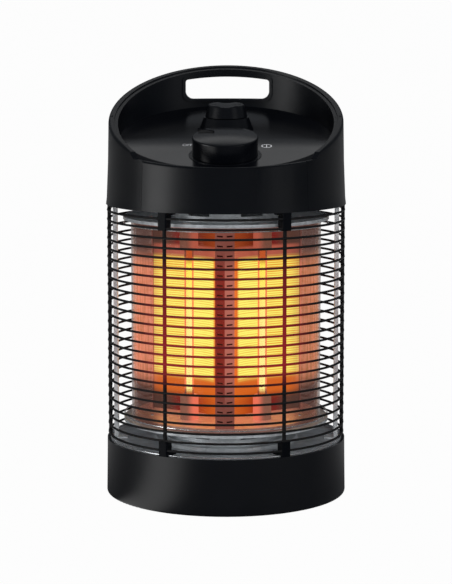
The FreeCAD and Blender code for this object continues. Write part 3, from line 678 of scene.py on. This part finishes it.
class HeaterSettings(PropertyGroup):
    camera_back: length("Camera distance", "How far the camera stands before the axis", 2.1338)
    camera_height: length("Camera height", "Height of the camera above the floor", 0.5079)
    camera_turn: swing("Camera turn", "Camera's turn round the heater, towards its right-hand side", 0.8)
    camera_tilt: swing("Camera tilt", "Camera's turn up from straight down", 82.247)
    camera_lens: FloatProperty(
        name="Focal length", description="Focal length for a sensor 36 mm high",
        default=123.47, unit="CAMERA")
    floor_colour: tint("Floor", "Colour of the floor where it isn't shown white", 0.10, 0.102, 0.11)
    plastic_colour: tint("Housing plastic", "Colour of the base, the shells and the clips",
                         0.0014, 0.0018, 0.0027)
    deck_colour: tint("Deck plastic", "Colour of the glossy control deck", 0.0012, 0.0015, 0.0024)
    knob_colour: tint("Knob plastic", "Colour of the knob and the boss", 0.0012, 0.0015, 0.0024)
    mark_colour: tint("Printed marks", "Ink of the marks on the deck", 0.6, 0.61, 0.63)
    zinc_colour: tint("Galvanised sheet", "Colour of the tray, plates and collars", 0.70, 0.735, 0.76)
    # The glow colours below are painted glow, emission that stands for the lamps' light; the glow between
    # ribs is the darker painted glow, as shade, in the ribs' hollows
    glow_colour: tint("Glow", "Colour of the reflector beside a lamp", 1.0, 0.95, 0.17)
    glow_deep_colour: tint("Glow between ribs", "Deeper colour in the reflector's ribs", 0.82, 0.33, 0.03)
    wire_glow_colour: tint("Wire glow", "Red that the lamps give to the guard", 0.235, 0.009, 0.011)
    ring_count: IntProperty(
        name="Guard rings", description="Number of rings in the wire guard", default=25, min=2)
    ring_wire_radius: length("Ring wire radius", "Radius of the wire of a guard ring", 1.25 * MM)
    rod_radius: length("Upright radius", "Radius of an upright of the guard", 2.0 * MM)
    rod_count: IntProperty(
        name="Uprights", description="Number of uprights in the wire guard", default=6, min=3)
    glass_wall: length("Glass wall", "Thickness of the glass sleeve", 3.0 * MM)


def plastic(context):
    return finish_once("satin_black_plastic", moulded, colour=settings(context).plastic_colour,
                       rough=0.34, grain=MOULD_GRAIN, gloss=0.3)


def knob_plastic(context):
    return finish_once("knob_plastic", moulded, colour=settings(context).knob_colour,
                       rough=0.26, grain=FINE_GRAIN, gloss=0.35)


class HEATER_OT_stage(Operator):
    """Floor, white surround, soft lamps and the camera at the photograph's place"""
    bl_idname = "heater.stage"
    bl_label = "Stage"

    FLOOR_REACH = 9.0
    PALE_SHARE = 0.98
    FOOTPRINT = (0.112, 0.12)
    SURROUND = (0.12, 0.127, 0.138)
    WHITE = (1.0, 1.0, 1.0)
    # Painted reflection: where glossy faces see the floor white, a pool to one side and, in part, the rear
    POOL_SIDE = (-0.755, -0.656)
    POOL_EDGE = (0.925, 1.0)
    REAR_EDGE = (-0.1, 0.4)
    REAR_SHARE = 0.22
    SENSOR_HEIGHT = 36.0
    CLIP_RANGE = (0.05, 50.0)
    # Name, place, point aimed at, width, height, power, and whether glossy faces show it
    SOFTBOXES = (
        ("key_softbox", (-1.40, -0.62, 0.37), (0.0, 0.0, 0.37), 0.75, 0.72, 5.6, True),
        ("fill_softbox", (1.2, -0.95, 0.5), (0.0, 0.0, 0.4), 0.7, 0.9, 0.8, True),
        ("rear_softbox", (0.0, 1.35, 1.75), (0.0, 0.0, 0.4), 1.8, 0.42, 1.4, True),
        ("top_softbox", (0.2, -1.0, 2.2), (0.0, 0.0, 0.2), 1.3, 1.1, 30.0, False),
        ("front_softbox", (0.5, -1.9, 0.45), (0.0, 0.0, 0.2), 1.2, 0.8, 26.0, False),
    )

    def execute(self, context):
        s = settings(context)
        self.floor(self.pale(s.floor_colour))
        for values in self.SOFTBOXES:
            self.softbox(*values)
        context.scene.world = self.surround()
        self.camera(context.scene, s)
        context.scene.view_settings.view_transform = "Standard"
        return {"FINISHED"}

    def pale(self, colour):
        """White to the camera and through glass, and white as a painted reflection in a pool of glossy rays,
        but not under the base; else matt.
        """
        finish = Finish("pale_studio")
        spot, (x, y, _) = finish.place()
        tone = finish.noise(spot, scale=3.0)
        reach = axis_distance(x, y) + 1.0 * MM
        pool = ((x * self.POOL_SIDE[0] + y * self.POOL_SIDE[1]) / reach).rise(*self.POOL_EDGE)
        rear = y.rise(*self.REAR_EDGE) * self.REAR_SHARE
        mirrored = finish.ray("Glossy") * pool.most(rear)
        seen = finish.ray("Camera").most(mirrored).most(finish.ray("Transmission"))
        white = finish.node("ShaderNodeEmission", None, {"Color": rgba(self.WHITE), "Strength": 1.0})
        return finish.show(finish.between(seen * reach.rise(*self.FOOTPRINT) * self.PALE_SHARE,
                                          finish.matt(finish.mottled(tone, colour, 0.98, 1.0)), white))

    def floor(self, material):
        reach = self.FLOOR_REACH
        mesh = bpy.data.meshes.new("floor")
        corners = [(-reach, -reach, 0), (reach, -reach, 0), (reach, reach, 0), (-reach, reach, 0)]
        mesh.from_pydata(corners, [], [(0, 1, 2, 3)])
        mesh.materials.append(material)
        made = bpy.data.objects.new("floor", mesh)
        link(made)

    def softbox(self, name, place, aim, width, height, power, glossy):
        lamp = bpy.data.lights.new(name, "AREA")
        lamp.shape = "RECTANGLE"
        lamp.size, lamp.size_y, lamp.energy = width, height, power
        made = bpy.data.objects.new(name, lamp)
        made.location = place
        made.rotation_euler = (Vector(aim) - Vector(place)).to_track_quat("-Z", "Y").to_euler()
        made.visible_glossy = glossy
        link(made)

    def surround(self):
        """Even grey light from all round, white to the camera and through glass."""
        finish = Finish("studio", world=True)
        seen = finish.ray("Camera").most(finish.ray("Transmission"))
        tone = finish.blend(seen, rgba(self.SURROUND), rgba(self.WHITE, self.PALE_SHARE))
        return finish.show(finish.node("ShaderNodeBackground", None, {"Color": tone, "Strength": 1.0}))

    def camera(self, scene, s):
        lens = bpy.data.cameras.new("photo_camera")
        lens.sensor_fit = "VERTICAL"
        lens.sensor_height = self.SENSOR_HEIGHT
        lens.lens = s.camera_lens
        lens.clip_start, lens.clip_end = self.CLIP_RANGE
        made = bpy.data.objects.new("photo_camera", lens)
        made.location = polar(s.camera_back, math.degrees(s.camera_turn), s.camera_height)
        made.rotation_euler = (s.camera_tilt, 0.0, s.camera_turn)
        link(made)
        scene.camera = made


class HEATER_OT_housing(Operator):
    """Satin black base, top shells with the dark strips that stand for the shade inside them behind their
    side seams, and guard clips
    """
    bl_idname = "heater.housing"
    bl_label = "Housing"

    SEAM_ANGLES = (90.0, 270.0)
    SEAM_AHEAD = 0.4
    SEAM_HALF_WIDTH = 1.2 * MM
    SEAM_DEPTHS = (0.9 * MM, 1.3 * MM)
    SEAM_STEP = 1.0 * MM

    def execute(self, context):
        colour = settings(context).plastic_colour
        base = finish_once("base_plastic", moulded, colour=colour, rough=0.32, grain=MOULD_GRAIN, gloss=0.55)
        clips = finish_once("clip_plastic", moulded, colour=colour, rough=0.5, grain=COARSE_GRAIN, gloss=0.1)
        dress(plastic(context), "front_cover", "left_side_shell", "right_side_shell", "rear_cowl")
        dress(base, "base_housing")
        dress(clips, "upper_clips", "lower_clips")
        cowl = solid_tree("rear_cowl")
        for index, angle in enumerate(self.SEAM_ANGLES):
            piece(f"shell_seam_{index + 1}", *self.seam(cowl, angle), plastic(context), "black_plastic")
        return {"FINISHED"}

    def seam(self, cowl, angle):
        """Thin strip inside the wall that lies across the gap between two shells, a dark sheet that stands
        for the shade inside the housing so the gap shows dark.
        """
        outward, along = polar(1.0, angle), polar(1.0, angle + 90.0)
        beside = polar(1.0, angle + math.copysign(self.SEAM_AHEAD, 180.0 - angle))
        rows = []
        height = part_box("rear_cowl")[0].z + self.SEAM_STEP
        while (hit := cowl.ray_cast(beside + Vector((0, 0, height)), -beside)[0]) and hit.dot(beside) > 0:
            rows.append(hit)
            height += self.SEAM_STEP
        near, far = self.SEAM_DEPTHS
        corners = ((near, -1), (near, 1), (far, 1), (far, -1))
        verts = []
        for hit in rows:
            for depth, side in corners:
                reach = hit.dot(beside) - depth
                verts.append(outward * reach + along * (side * self.SEAM_HALF_WIDTH) + Vector((0, 0, hit.z)))
        return verts, bar_faces(len(rows), len(corners))


class HEATER_OT_guard(Operator):
    """Enamelled rings and uprights of the wire guard, with their welds"""
    bl_idname = "heater.guard"
    bl_label = "Wire guard"

    ENAMEL = (0.007, 0.007, 0.0075)
    RING_STEPS = 160
    WIRE_STEPS = 12
    WELD_SHARES = (-1.0, -0.5, 0.0, 0.5, 1.0)
    WELD_REACH = 2.0 * MM
    WELD_SWELL = 0.28 * MM
    SIDE_ANGLE = 90.0

    def execute(self, context):
        s = settings(context)
        paint = finish_once("guard_enamel", guard_enamel_and_glow, colour=self.ENAMEL, glow=s.wire_glow_colour)
        wire = s.ring_wire_radius
        low, high = RINGS_LOW.z + wire, RINGS_HIGH.z - wire
        heights = [low + (high - low) * index / (s.ring_count - 1) for index in range(s.ring_count)]
        ring_radius = RINGS_HIGH.x - wire
        ring = lathe(circle(wire, self.WIRE_STEPS, out=ring_radius), self.RING_STEPS)
        rings = [moved(ring, Matrix.Translation((0, 0, height))) for height in heights]
        piece("guard_ring_wires", *joined(rings), paint, "black_wire", ["guard_rings"])
        inside = ring_radius - wire - s.rod_radius
        flush = ring_radius + wire - s.rod_radius - self.WELD_SWELL
        rods = [self.rod(s, heights, angle, flush if angle % 180.0 == self.SIDE_ANGLE else inside)
                for angle in (360.0 * (index + 0.5) / s.rod_count for index in range(s.rod_count))]
        piece("guard_upright_wires", *joined(rods), paint, "black_wire", ["guard_uprights"])
        return {"FINISHED"}

    def rod(self, s, heights, angle, reach):
        """Upright with a small swelling where each ring is welded on."""
        profile = [(RODS_LOW.z, 0.0)]
        for height in heights:
            for share in self.WELD_SHARES:
                profile.append((height + share * self.WELD_REACH, self.WELD_SWELL * (1.0 - abs(share))))
        profile.append((RODS_HIGH.z, 0.0))
        middle = polar(reach, angle)
        verts = []
        for height, swell in profile:
            height = min(max(height, RODS_LOW.z), RODS_HIGH.z)
            for step in range(self.WIRE_STEPS):
                verts.append(middle + polar(s.rod_radius + swell, 360.0 * step / self.WIRE_STEPS, height))
        return verts, bar_faces(len(profile), self.WIRE_STEPS)


class HEATER_OT_carcass(Operator):
    """Galvanised tray, end plates with their rolled edges, collars and posts"""
    bl_idname = "heater.carcass"
    bl_label = "Carcass"

    # Painted light: a paler copy of the zinc colour, which brightens the posts that the lamps reach little
    LIT_POST_COLOUR = (0.93, 0.96, 0.98)
    # Painted glow on the end plates inside the glass, which stands for the lamps' light
    PLATE_PAINTED_GLOW = (0.27, 0.085, 0.055)
    BEAD_COLOUR = (0.92, 0.95, 0.97)
    BEAD_RADIUS = 0.7 * MM
    BEAD_SIDES = 10
    BEAD_STEPS = 160

    def execute(self, context):
        colour = settings(context).zinc_colour
        dress(finish_once("galvanised_sheet", galvanised, colour=colour),
              "base_tray", "lower_collar", "upper_collar", "cap_floor")
        dress(finish_once("painted_light_post_sheet", galvanised, colour=self.LIT_POST_COLOUR), "left_post", "right_post")
        dress(finish_once("painted_glow_galvanised_sheet", galvanised, colour=colour, glow=self.PLATE_PAINTED_GLOW),
              "lower_plate", "upper_plate")
        bright = finish_once("rolled_edge", bright_metal, colour=self.BEAD_COLOUR, rough=0.25)
        for node in ("base_tray", "lower_plate", "upper_plate"):
            low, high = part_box(node)
            seen_face = low.z if node == "upper_plate" else high.z
            self.bead(f"{node}_edge", high.x, seen_face, bright)
        return {"FINISHED"}

    def bead(self, name, reach, height, material):
        """Rolled edge of a round sheet, just inside its rim."""
        section = circle(self.BEAD_RADIUS, self.BEAD_SIDES, out=reach - self.BEAD_RADIUS, up=height)
        piece(name, *lathe(section, self.BEAD_STEPS), material, "galvanised_steel")


class HEATER_OT_glass(Operator):
    """Tinted glass sleeve with fire-polished ends"""
    bl_idname = "heater.glass"
    bl_label = "Glass sleeve"

    STEPS = 192
    LIP = 0.8 * MM

    def execute(self, context):
        outer = GLASS_HIGH.x
        inner = outer - settings(context).glass_wall
        low, high, lip = GLASS_LOW.z, GLASS_HIGH.z, self.LIP
        profile = [(outer, low + lip), (outer, high - lip), (outer - lip, high), (inner + lip, high),
                   (inner, high - lip), (inner, low + lip), (inner + lip, low), (outer - lip, low)]
        # Painted glow colours of the haze, and the painted reflection at the outline
        glass = finish_once("tinted_glass", tinted_glass, warm=(0.82, 0.25, 0.14), brown=(0.40, 0.14, 0.05),
                            dull=(0.06, 0.022, 0.016), rim=(0.15, 0.14, 0.135))
        piece("glass_sleeve", *lathe(profile, self.STEPS), glass, "tinted_glass", ["glass_tube"])
        return {"FINISHED"}


class HEATER_OT_lamps(Operator):
    """Quartz lamps with glowing carbon ribbons in their ceramic holders"""
    bl_idname = "heater.lamps"
    bl_label = "Lamps"

    STEPS = 40
    WALL = 1.0 * MM
    COIL_RADIUS = 3.65 * MM
    COIL_PITCH = 2.6 * MM
    COIL_WIDTH = 2.2 * MM
    COIL_SHEET = 0.25 * MM
    COIL_STEPS = 20

    def execute(self, context):
        clear = finish_once("quartz_glass", quartz, glow=(0.80, 0.16, 0.06))
        carbon = finish_once("hot_carbon", hot_carbon, hot=(1.0, 0.90, 0.10), hottest=(1.0, 0.97, 0.34),
                             dull=(0.5, 0.09, 0.02))
        holders = finish_once("lamp_ceramic", ceramic, colour=(0.21, 0.10, 0.07), glow=(0.72, 0.15, 0.09))
        for index in range(1, LAMP_COUNT + 1):
            node, strip = f"lamp_tube_{index}", f"carbon_strip_{index}"
            low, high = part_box(node)
            middle = (low + high) / 2
            to_lamp = Matrix.Translation((middle.x, middle.y, 0))
            radius = (high.x - low.x) / 2
            inner = radius - self.WALL
            profile = [(radius, low.z), (radius, high.z), (inner, high.z), (inner, low.z)]
            tube = moved(lathe(profile, self.STEPS), to_lamp)
            piece(f"quartz_tube_{index}", *tube, clear, "quartz_glass", [node])
            coil = moved(self.coil(*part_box(strip)), to_lamp)
            piece(f"carbon_coil_{index}", *coil, carbon, "carbon", [strip])
            dress(holders, f"upper_holder_{index}", f"lower_holder_{index}")
        return {"FINISHED"}

    def coil(self, low, high):
        """Carbon ribbon wound round the lamp's axis with narrow gaps, from one seal to the other."""
        span = high.z - low.z - self.COIL_WIDTH
        count = round(span / self.COIL_PITCH * self.COIL_STEPS)
        outer, inner = self.COIL_RADIUS, self.COIL_RADIUS - self.COIL_SHEET
        section = [(outer, 0.0), (outer, self.COIL_WIDTH), (inner, self.COIL_WIDTH), (inner, 0.0)]
        verts = [polar(radius, 360.0 * step / self.COIL_STEPS, low.z + span * step / count + rise)
                 for step in range(count + 1) for radius, rise in section]
        return verts, bar_faces(count + 1, len(section))


class HEATER_OT_reflector(Operator):
    """Ribbed troughs behind the lamps and the slotted strips on their edges"""
    bl_idname = "heater.reflector"
    bl_label = "Reflector"

    ARM_HALF_GAP = 4.0 * MM
    BEND_RADIUS = 60.0 * MM
    SHEET = 0.8 * MM
    TIP_INSET = 0.8 * MM
    LINER_GAP = 0.25 * MM
    LINER_INSET = 0.6 * MM
    LINER_SHEET = 0.4 * MM
    RIB_DEPTH = 0.18 * MM
    ROWS_PER_RIB = 4
    ARM_STEPS = 4
    ARC_STEPS = 20
    TROUGH_SHARP = 60.0

    # Half the angle between two arms, and the distance of a sheet's middle from the middle of its arm
    HALF = math.radians(ARM_ANGLE / 2)
    OFFSET = ARM_HALF_GAP + SHEET / 2

    def execute(self, context):
        s = settings(context)
        sheet = finish_once("ribbed_reflector", reflector_sheet, bright=s.glow_colour,
                            deep=s.glow_deep_colour, dark=(0.16, 0.012, 0.01))
        strips = finish_once("corner_metal", corner_metal, warm=(0.74, 0.18, 0.12),
                             pale=(0.42, 0.125, 0.095), dark=(0.165, 0.004, 0.004))
        rear = finish_once("reflector_rear", shaded_metal, colour=(0.05, 0.010, 0.008))
        line = self.plan()
        for index in range(1, LAMP_COUNT + 1):
            angle = FIRST_TROUGH_ANGLE + ARM_ANGLE * (index - 1)
            self.trough(index, line, Matrix.Rotation(math.radians(angle), 4, "Z"), sheet, rear)
            dress(strips, f"corner_strip_{index}")
            tip_turn = Matrix.Rotation(math.radians(angle - ARM_ANGLE / 2), 4, "Z")
            piece(f"corner_liner_{index}", *moved(self.liner(), tip_turn), rear, "reflector_aluminium")
        return {"FINISHED"}

    def trough(self, index, line, turn, sheet, rear):
        """Ribbed sheet along the plan's line, turned to its place, with its dark rear."""
        node = f"reflector_panel_{index}"
        low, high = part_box(node)
        rows = round((high.z - low.z) / RIB_PITCH * self.ROWS_PER_RIB)
        verts = []
        for row in range(rows + 1):
            height = low.z + (high.z - low.z) * row / rows
            depth = self.RIB_DEPTH * math.sin(2 * math.pi * height / RIB_PITCH)
            verts.extend(turn @ (spot + facing * depth + Vector((0, 0, height))) for spot, facing in line)
        made = piece(f"reflector_trough_{index}", verts, grid_faces(rows + 1, len(line)), sheet,
                     "reflector_aluminium", [node], sharp=self.TROUGH_SHARP)
        if made.data.polygons[0].normal.dot(turn @ line[0][1]) < 0.0:
            made.data.flip_normals()
        made.data.materials.append(rear)
        thick = made.modifiers.new("sheet", "SOLIDIFY")
        thick.material_offset = thick.material_offset_rim = 1
        thick.thickness = self.SHEET - self.RIB_DEPTH
        thick.offset = 0.0

    def liner(self):
        """Dark sheet close behind the slotted strip at the front, in the painted shade of the reflector's
        rear, where the gap between the arm's sheets is in shade; for a turn round the axis.
        """
        low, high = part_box("corner_strip_1")
        apex = low.y + self.LINER_GAP + self.SHEET * math.hypot(1.0, (high.y - low.y) / high.x)
        wing = Vector((high.x - self.LINER_INSET, high.y + self.LINER_GAP))
        line = [(-wing.x, wing.y), (0.0, apex), (wing.x, wing.y)]
        outline = line + [(x, y + self.LINER_SHEET) for x, y in reversed(line)]
        verts = [(x, y, z) for z in (low.z, high.z) for x, y in outline]
        count = len(outline)
        faces = grid_faces(2, count, round_columns=True)
        for start in (0, count):
            faces += [(start, start + 1, start + 4, start + 5), (start + 1, start + 2, start + 3, start + 4)]
        return verts, faces

    def plan(self):
        """Points of a trough's middle line seen from above, each with the direction that faces the lamp."""
        arm = Vector((math.sin(self.HALF), -math.cos(self.HALF), 0))
        side = Vector((-math.cos(self.HALF), -math.sin(self.HALF), 0))
        bend = self.BEND_RADIUS - self.SHEET / 2
        middle = Vector((0, -(self.OFFSET + bend) / math.sin(self.HALF), 0))
        root = middle - side * bend
        tip = arm * self.tip_reach() + side * self.OFFSET
        right = [(tip.lerp(root, step / self.ARM_STEPS), side.copy()) for step in range(self.ARM_STEPS)]
        start = math.atan2(root.x - middle.x, root.y - middle.y)
        arc = []
        for step in range(self.ARC_STEPS + 1):
            turn = start * (1.0 - 2.0 * step / self.ARC_STEPS)
            out = Vector((math.sin(turn), math.cos(turn), 0))
            arc.append((middle + out * bend, -out))
        mirror = Matrix.Diagonal((-1.0, 1.0, 1.0))
        left = [(mirror @ spot, mirror @ facing) for spot, facing in reversed(right)]
        return right + arc + left

    def tip_reach(self):
        """How far an arm's sheet goes out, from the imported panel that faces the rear."""
        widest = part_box("reflector_panel_2")[1].x
        return (widest + self.OFFSET * math.cos(self.HALF)) / math.sin(self.HALF) - self.TIP_INSET


class HEATER_OT_deck(Operator):
    """Glossy sloping deck with its printed marks"""
    bl_idname = "heater.deck"
    bl_label = "Control deck"

    CROWN_START = -8.0 * MM
    CROWN_END = -53.0 * MM
    CROWN_BEND = 1.2
    BORDER = 3.2 * MM
    INK = 0.05 * MM
    OFF_PLACE = (-40.0 * MM, -33.0 * MM)
    DIAL_PLACE = (43.0 * MM, -36.0 * MM)
    LETTER_SIZE = 6.0 * MM
    LETTER_STRETCH = 1.6
    DIAL_RADIUS = 5.6 * MM
    DIAL_LINE = 1.1 * MM
    DIAL_STEPS = 40

    def execute(self, context):
        s = settings(context)
        gloss = finish_once("glossy_deck_plastic", crowned, colour=s.deck_colour, rough=0.18, gloss=0.35,
                            start=self.CROWN_START, end=self.CROWN_END, bend=self.CROWN_BEND,
                            border=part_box("control_deck")[1].x - self.BORDER)
        dress(gloss, "control_deck")
        ink = finish_once("printed_ink", printed, colour=s.mark_colour)
        self.lay("off_mark", self.word("OFF"), self.OFF_PLACE, ink)
        self.lay("dial_mark", self.dial(), self.DIAL_PLACE, ink)
        return {"FINISHED"}

    def word(self, letters):
        """Flat letters of the wanted size, with their middle at the origin."""
        curve = bpy.data.curves.new("letters", "FONT")
        curve.body = letters
        curve.align_x = curve.align_y = "CENTER"
        curve.size = self.LETTER_SIZE
        holder = bpy.data.objects.new("letters", curve)
        link(holder)
        shaped = holder.evaluated_get(bpy.context.evaluated_depsgraph_get())
        mesh = bpy.data.meshes.new_from_object(shaped)
        verts = [Vector((vert.co.x, vert.co.y * self.LETTER_STRETCH, 0)) for vert in mesh.vertices]
        faces = [tuple(face.vertices) for face in mesh.polygons]
        bpy.data.objects.remove(holder)
        bpy.data.curves.remove(curve)
        bpy.data.meshes.remove(mesh)
        return verts, faces

    def dial(self):
        """Ring with a bar across it."""
        inner = self.DIAL_RADIUS - self.DIAL_LINE
        half = self.DIAL_LINE / 2
        rings = [polar(radius, 360.0 * step / self.DIAL_STEPS) for radius in (self.DIAL_RADIUS, inner)
                 for step in range(self.DIAL_STEPS)]
        bar = [Vector((x, y, 0)) for x, y in ((-half, -inner), (half, -inner), (half, inner), (-half, inner))]
        return joined([(rings, grid_faces(2, self.DIAL_STEPS, round_columns=True)), (bar, [(0, 1, 2, 3)])])

    def lay(self, name, shape, place, ink):
        """Lays a flat shape on the deck's top face as a thin film of ink."""
        deck = solid_tree("control_deck")
        verts = []
        for vert in shape[0]:
            above = Vector((vert.x + place[0], vert.y + place[1], CAD_BOX[1].z))
            verts.append(deck.ray_cast(above, Vector((0, 0, -1)))[0] + Vector((0, 0, self.INK)))
        piece(name, verts, shape[1], ink, "deck_plastic")


class HEATER_OT_knob(Operator):
    """Control knob with its ring and shaft"""
    bl_idname = "heater.knob"
    bl_label = "Knob"

    BRASS = (0.7, 0.5, 0.22)
    DECK_TILT = math.atan(0.25)
    POINTER_ANGLE = math.radians(148.0)
    POINTER_SPAN = (14.0 * MM, 33.0 * MM)
    POINTER_HALF_WIDTH = 1.2 * MM
    POINTER_EDGE = 0.2 * MM
    DOME_BEND = 0.9

    def execute(self, context):
        dress(knob_plastic(context), "knob_ring")
        dress(finish_once("pointed_knob_plastic", moulded, colour=settings(context).knob_colour, rough=0.22,
                          grain=FINE_GRAIN, gloss=0.35, swell=self.dome, matt_zone=self.pointer),
              "control_knob")
        dress(finish_once("shaft_brass", bright_metal, colour=self.BRASS, rough=0.3), "switch_shaft")
        return {"FINISHED"}

    def across_top(self, x, y, z, angle):
        """Distances along the knob's top from its middle: one at the angle, and one square to it."""
        low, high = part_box("control_knob")
        right = Vector((1, 0, 0))
        slope = Vector((0, math.cos(self.DECK_TILT), math.sin(self.DECK_TILT)))
        ways = (right * math.cos(angle) + slope * math.sin(angle),
                slope * math.cos(angle) - right * math.sin(angle))
        return [x * way.x + y * way.y + z * way.z - way.dot(low + high) / 2 for way in ways]

    def dome(self, x, y, z):
        """Height of the soft dome on the knob's top."""
        aside, up = self.across_top(x, y, z, 0.0)
        return (aside * aside + up * up) * -self.DOME_BEND

    def pointer(self, x, y, z):
        """Share of the matt black bar on the knob's top."""
        reach, offset = self.across_top(x, y, z, self.POINTER_ANGLE)
        start, end = self.POINTER_SPAN
        edge = self.POINTER_EDGE
        return (offset.size().rise(self.POINTER_HALF_WIDTH + edge, self.POINTER_HALF_WIDTH)
                * reach.rise(start - edge, start) * reach.rise(end + edge, end))


class HEATER_OT_boss(Operator):
    """Hanging boss and its turning cap"""
    bl_idname = "heater.boss"
    bl_label = "Hanging boss"

    def execute(self, context):
        dress(knob_plastic(context), "hanger_boss", "hanger_cap")
        return {"FINISHED"}


class HEATER_OT_underside(Operator):
    """Bottom plate, feet, gland and screws"""
    bl_idname = "heater.underside"
    bl_label = "Underside"

    RUBBER = (0.018, 0.018, 0.018)
    PLATING = (0.55, 0.55, 0.56)

    def execute(self, context):
        dress(plastic(context), "bottom_plate", "cord_gland")
        dress(finish_once("foot_rubber", rubber, colour=self.RUBBER), "rubber_feet")
        screws = finish_once("plated_screws", bright_metal, colour=self.PLATING, rough=0.32)
        dress(screws, "bottom_screws", "tray_screws")
        return {"FINISHED"}


class HEATER_OT_electrics(Operator):
    """Switches and terminals inside the housing"""
    bl_idname = "heater.electrics"
    bl_label = "Electrics"

    PLASTICS = (("terminal_plastic", (0.45, 0.44, 0.40), "terminal_block", "thermal_cutout"),
                ("switch_plastic", (0.03, 0.03, 0.032), "rotary_switch", "tilt_switch"))

    def execute(self, context):
        for name, own, *nodes in self.PLASTICS:
            dress(finish_once(name, moulded, colour=own, rough=0.45, grain=COARSE_GRAIN, gloss=0.4), *nodes)
        return {"FINISHED"}


STEPS = (HEATER_OT_stage, HEATER_OT_housing, HEATER_OT_guard, HEATER_OT_carcass, HEATER_OT_glass,
         HEATER_OT_lamps, HEATER_OT_reflector, HEATER_OT_deck, HEATER_OT_knob, HEATER_OT_boss,
         HEATER_OT_underside, HEATER_OT_electrics)


class HEATER_PT_sidebar(Panel):
    """The heater's settings and the steps that dress it"""
    bl_label = "Patio heater"
    bl_idname = "HEATER_PT_sidebar"
    bl_space_type = "VIEW_3D"
    bl_region_type = "UI"
    bl_category = "Heater"

    def draw(self, context):
        for name in HeaterSettings.__annotations__:
            self.layout.prop(settings(context), name)
        for step in STEPS:
            self.layout.operator(step.bl_idname)


CLASSES = (HeaterSettings,) + STEPS + (HEATER_PT_sidebar,)


def register():
    for entry in CLASSES:
        bpy.utils.register_class(entry)
    bpy.types.Scene.heater = PointerProperty(type=HeaterSettings)


def unregister():
    del bpy.types.Scene.heater
    for entry in reversed(CLASSES):
        bpy.utils.unregister_class(entry)


def main():
    register()
    for step in STEPS:
        group, name = step.bl_idname.split(".")
        getattr(getattr(bpy.ops, group), name)()


if __name__ == "__main__":
    main()
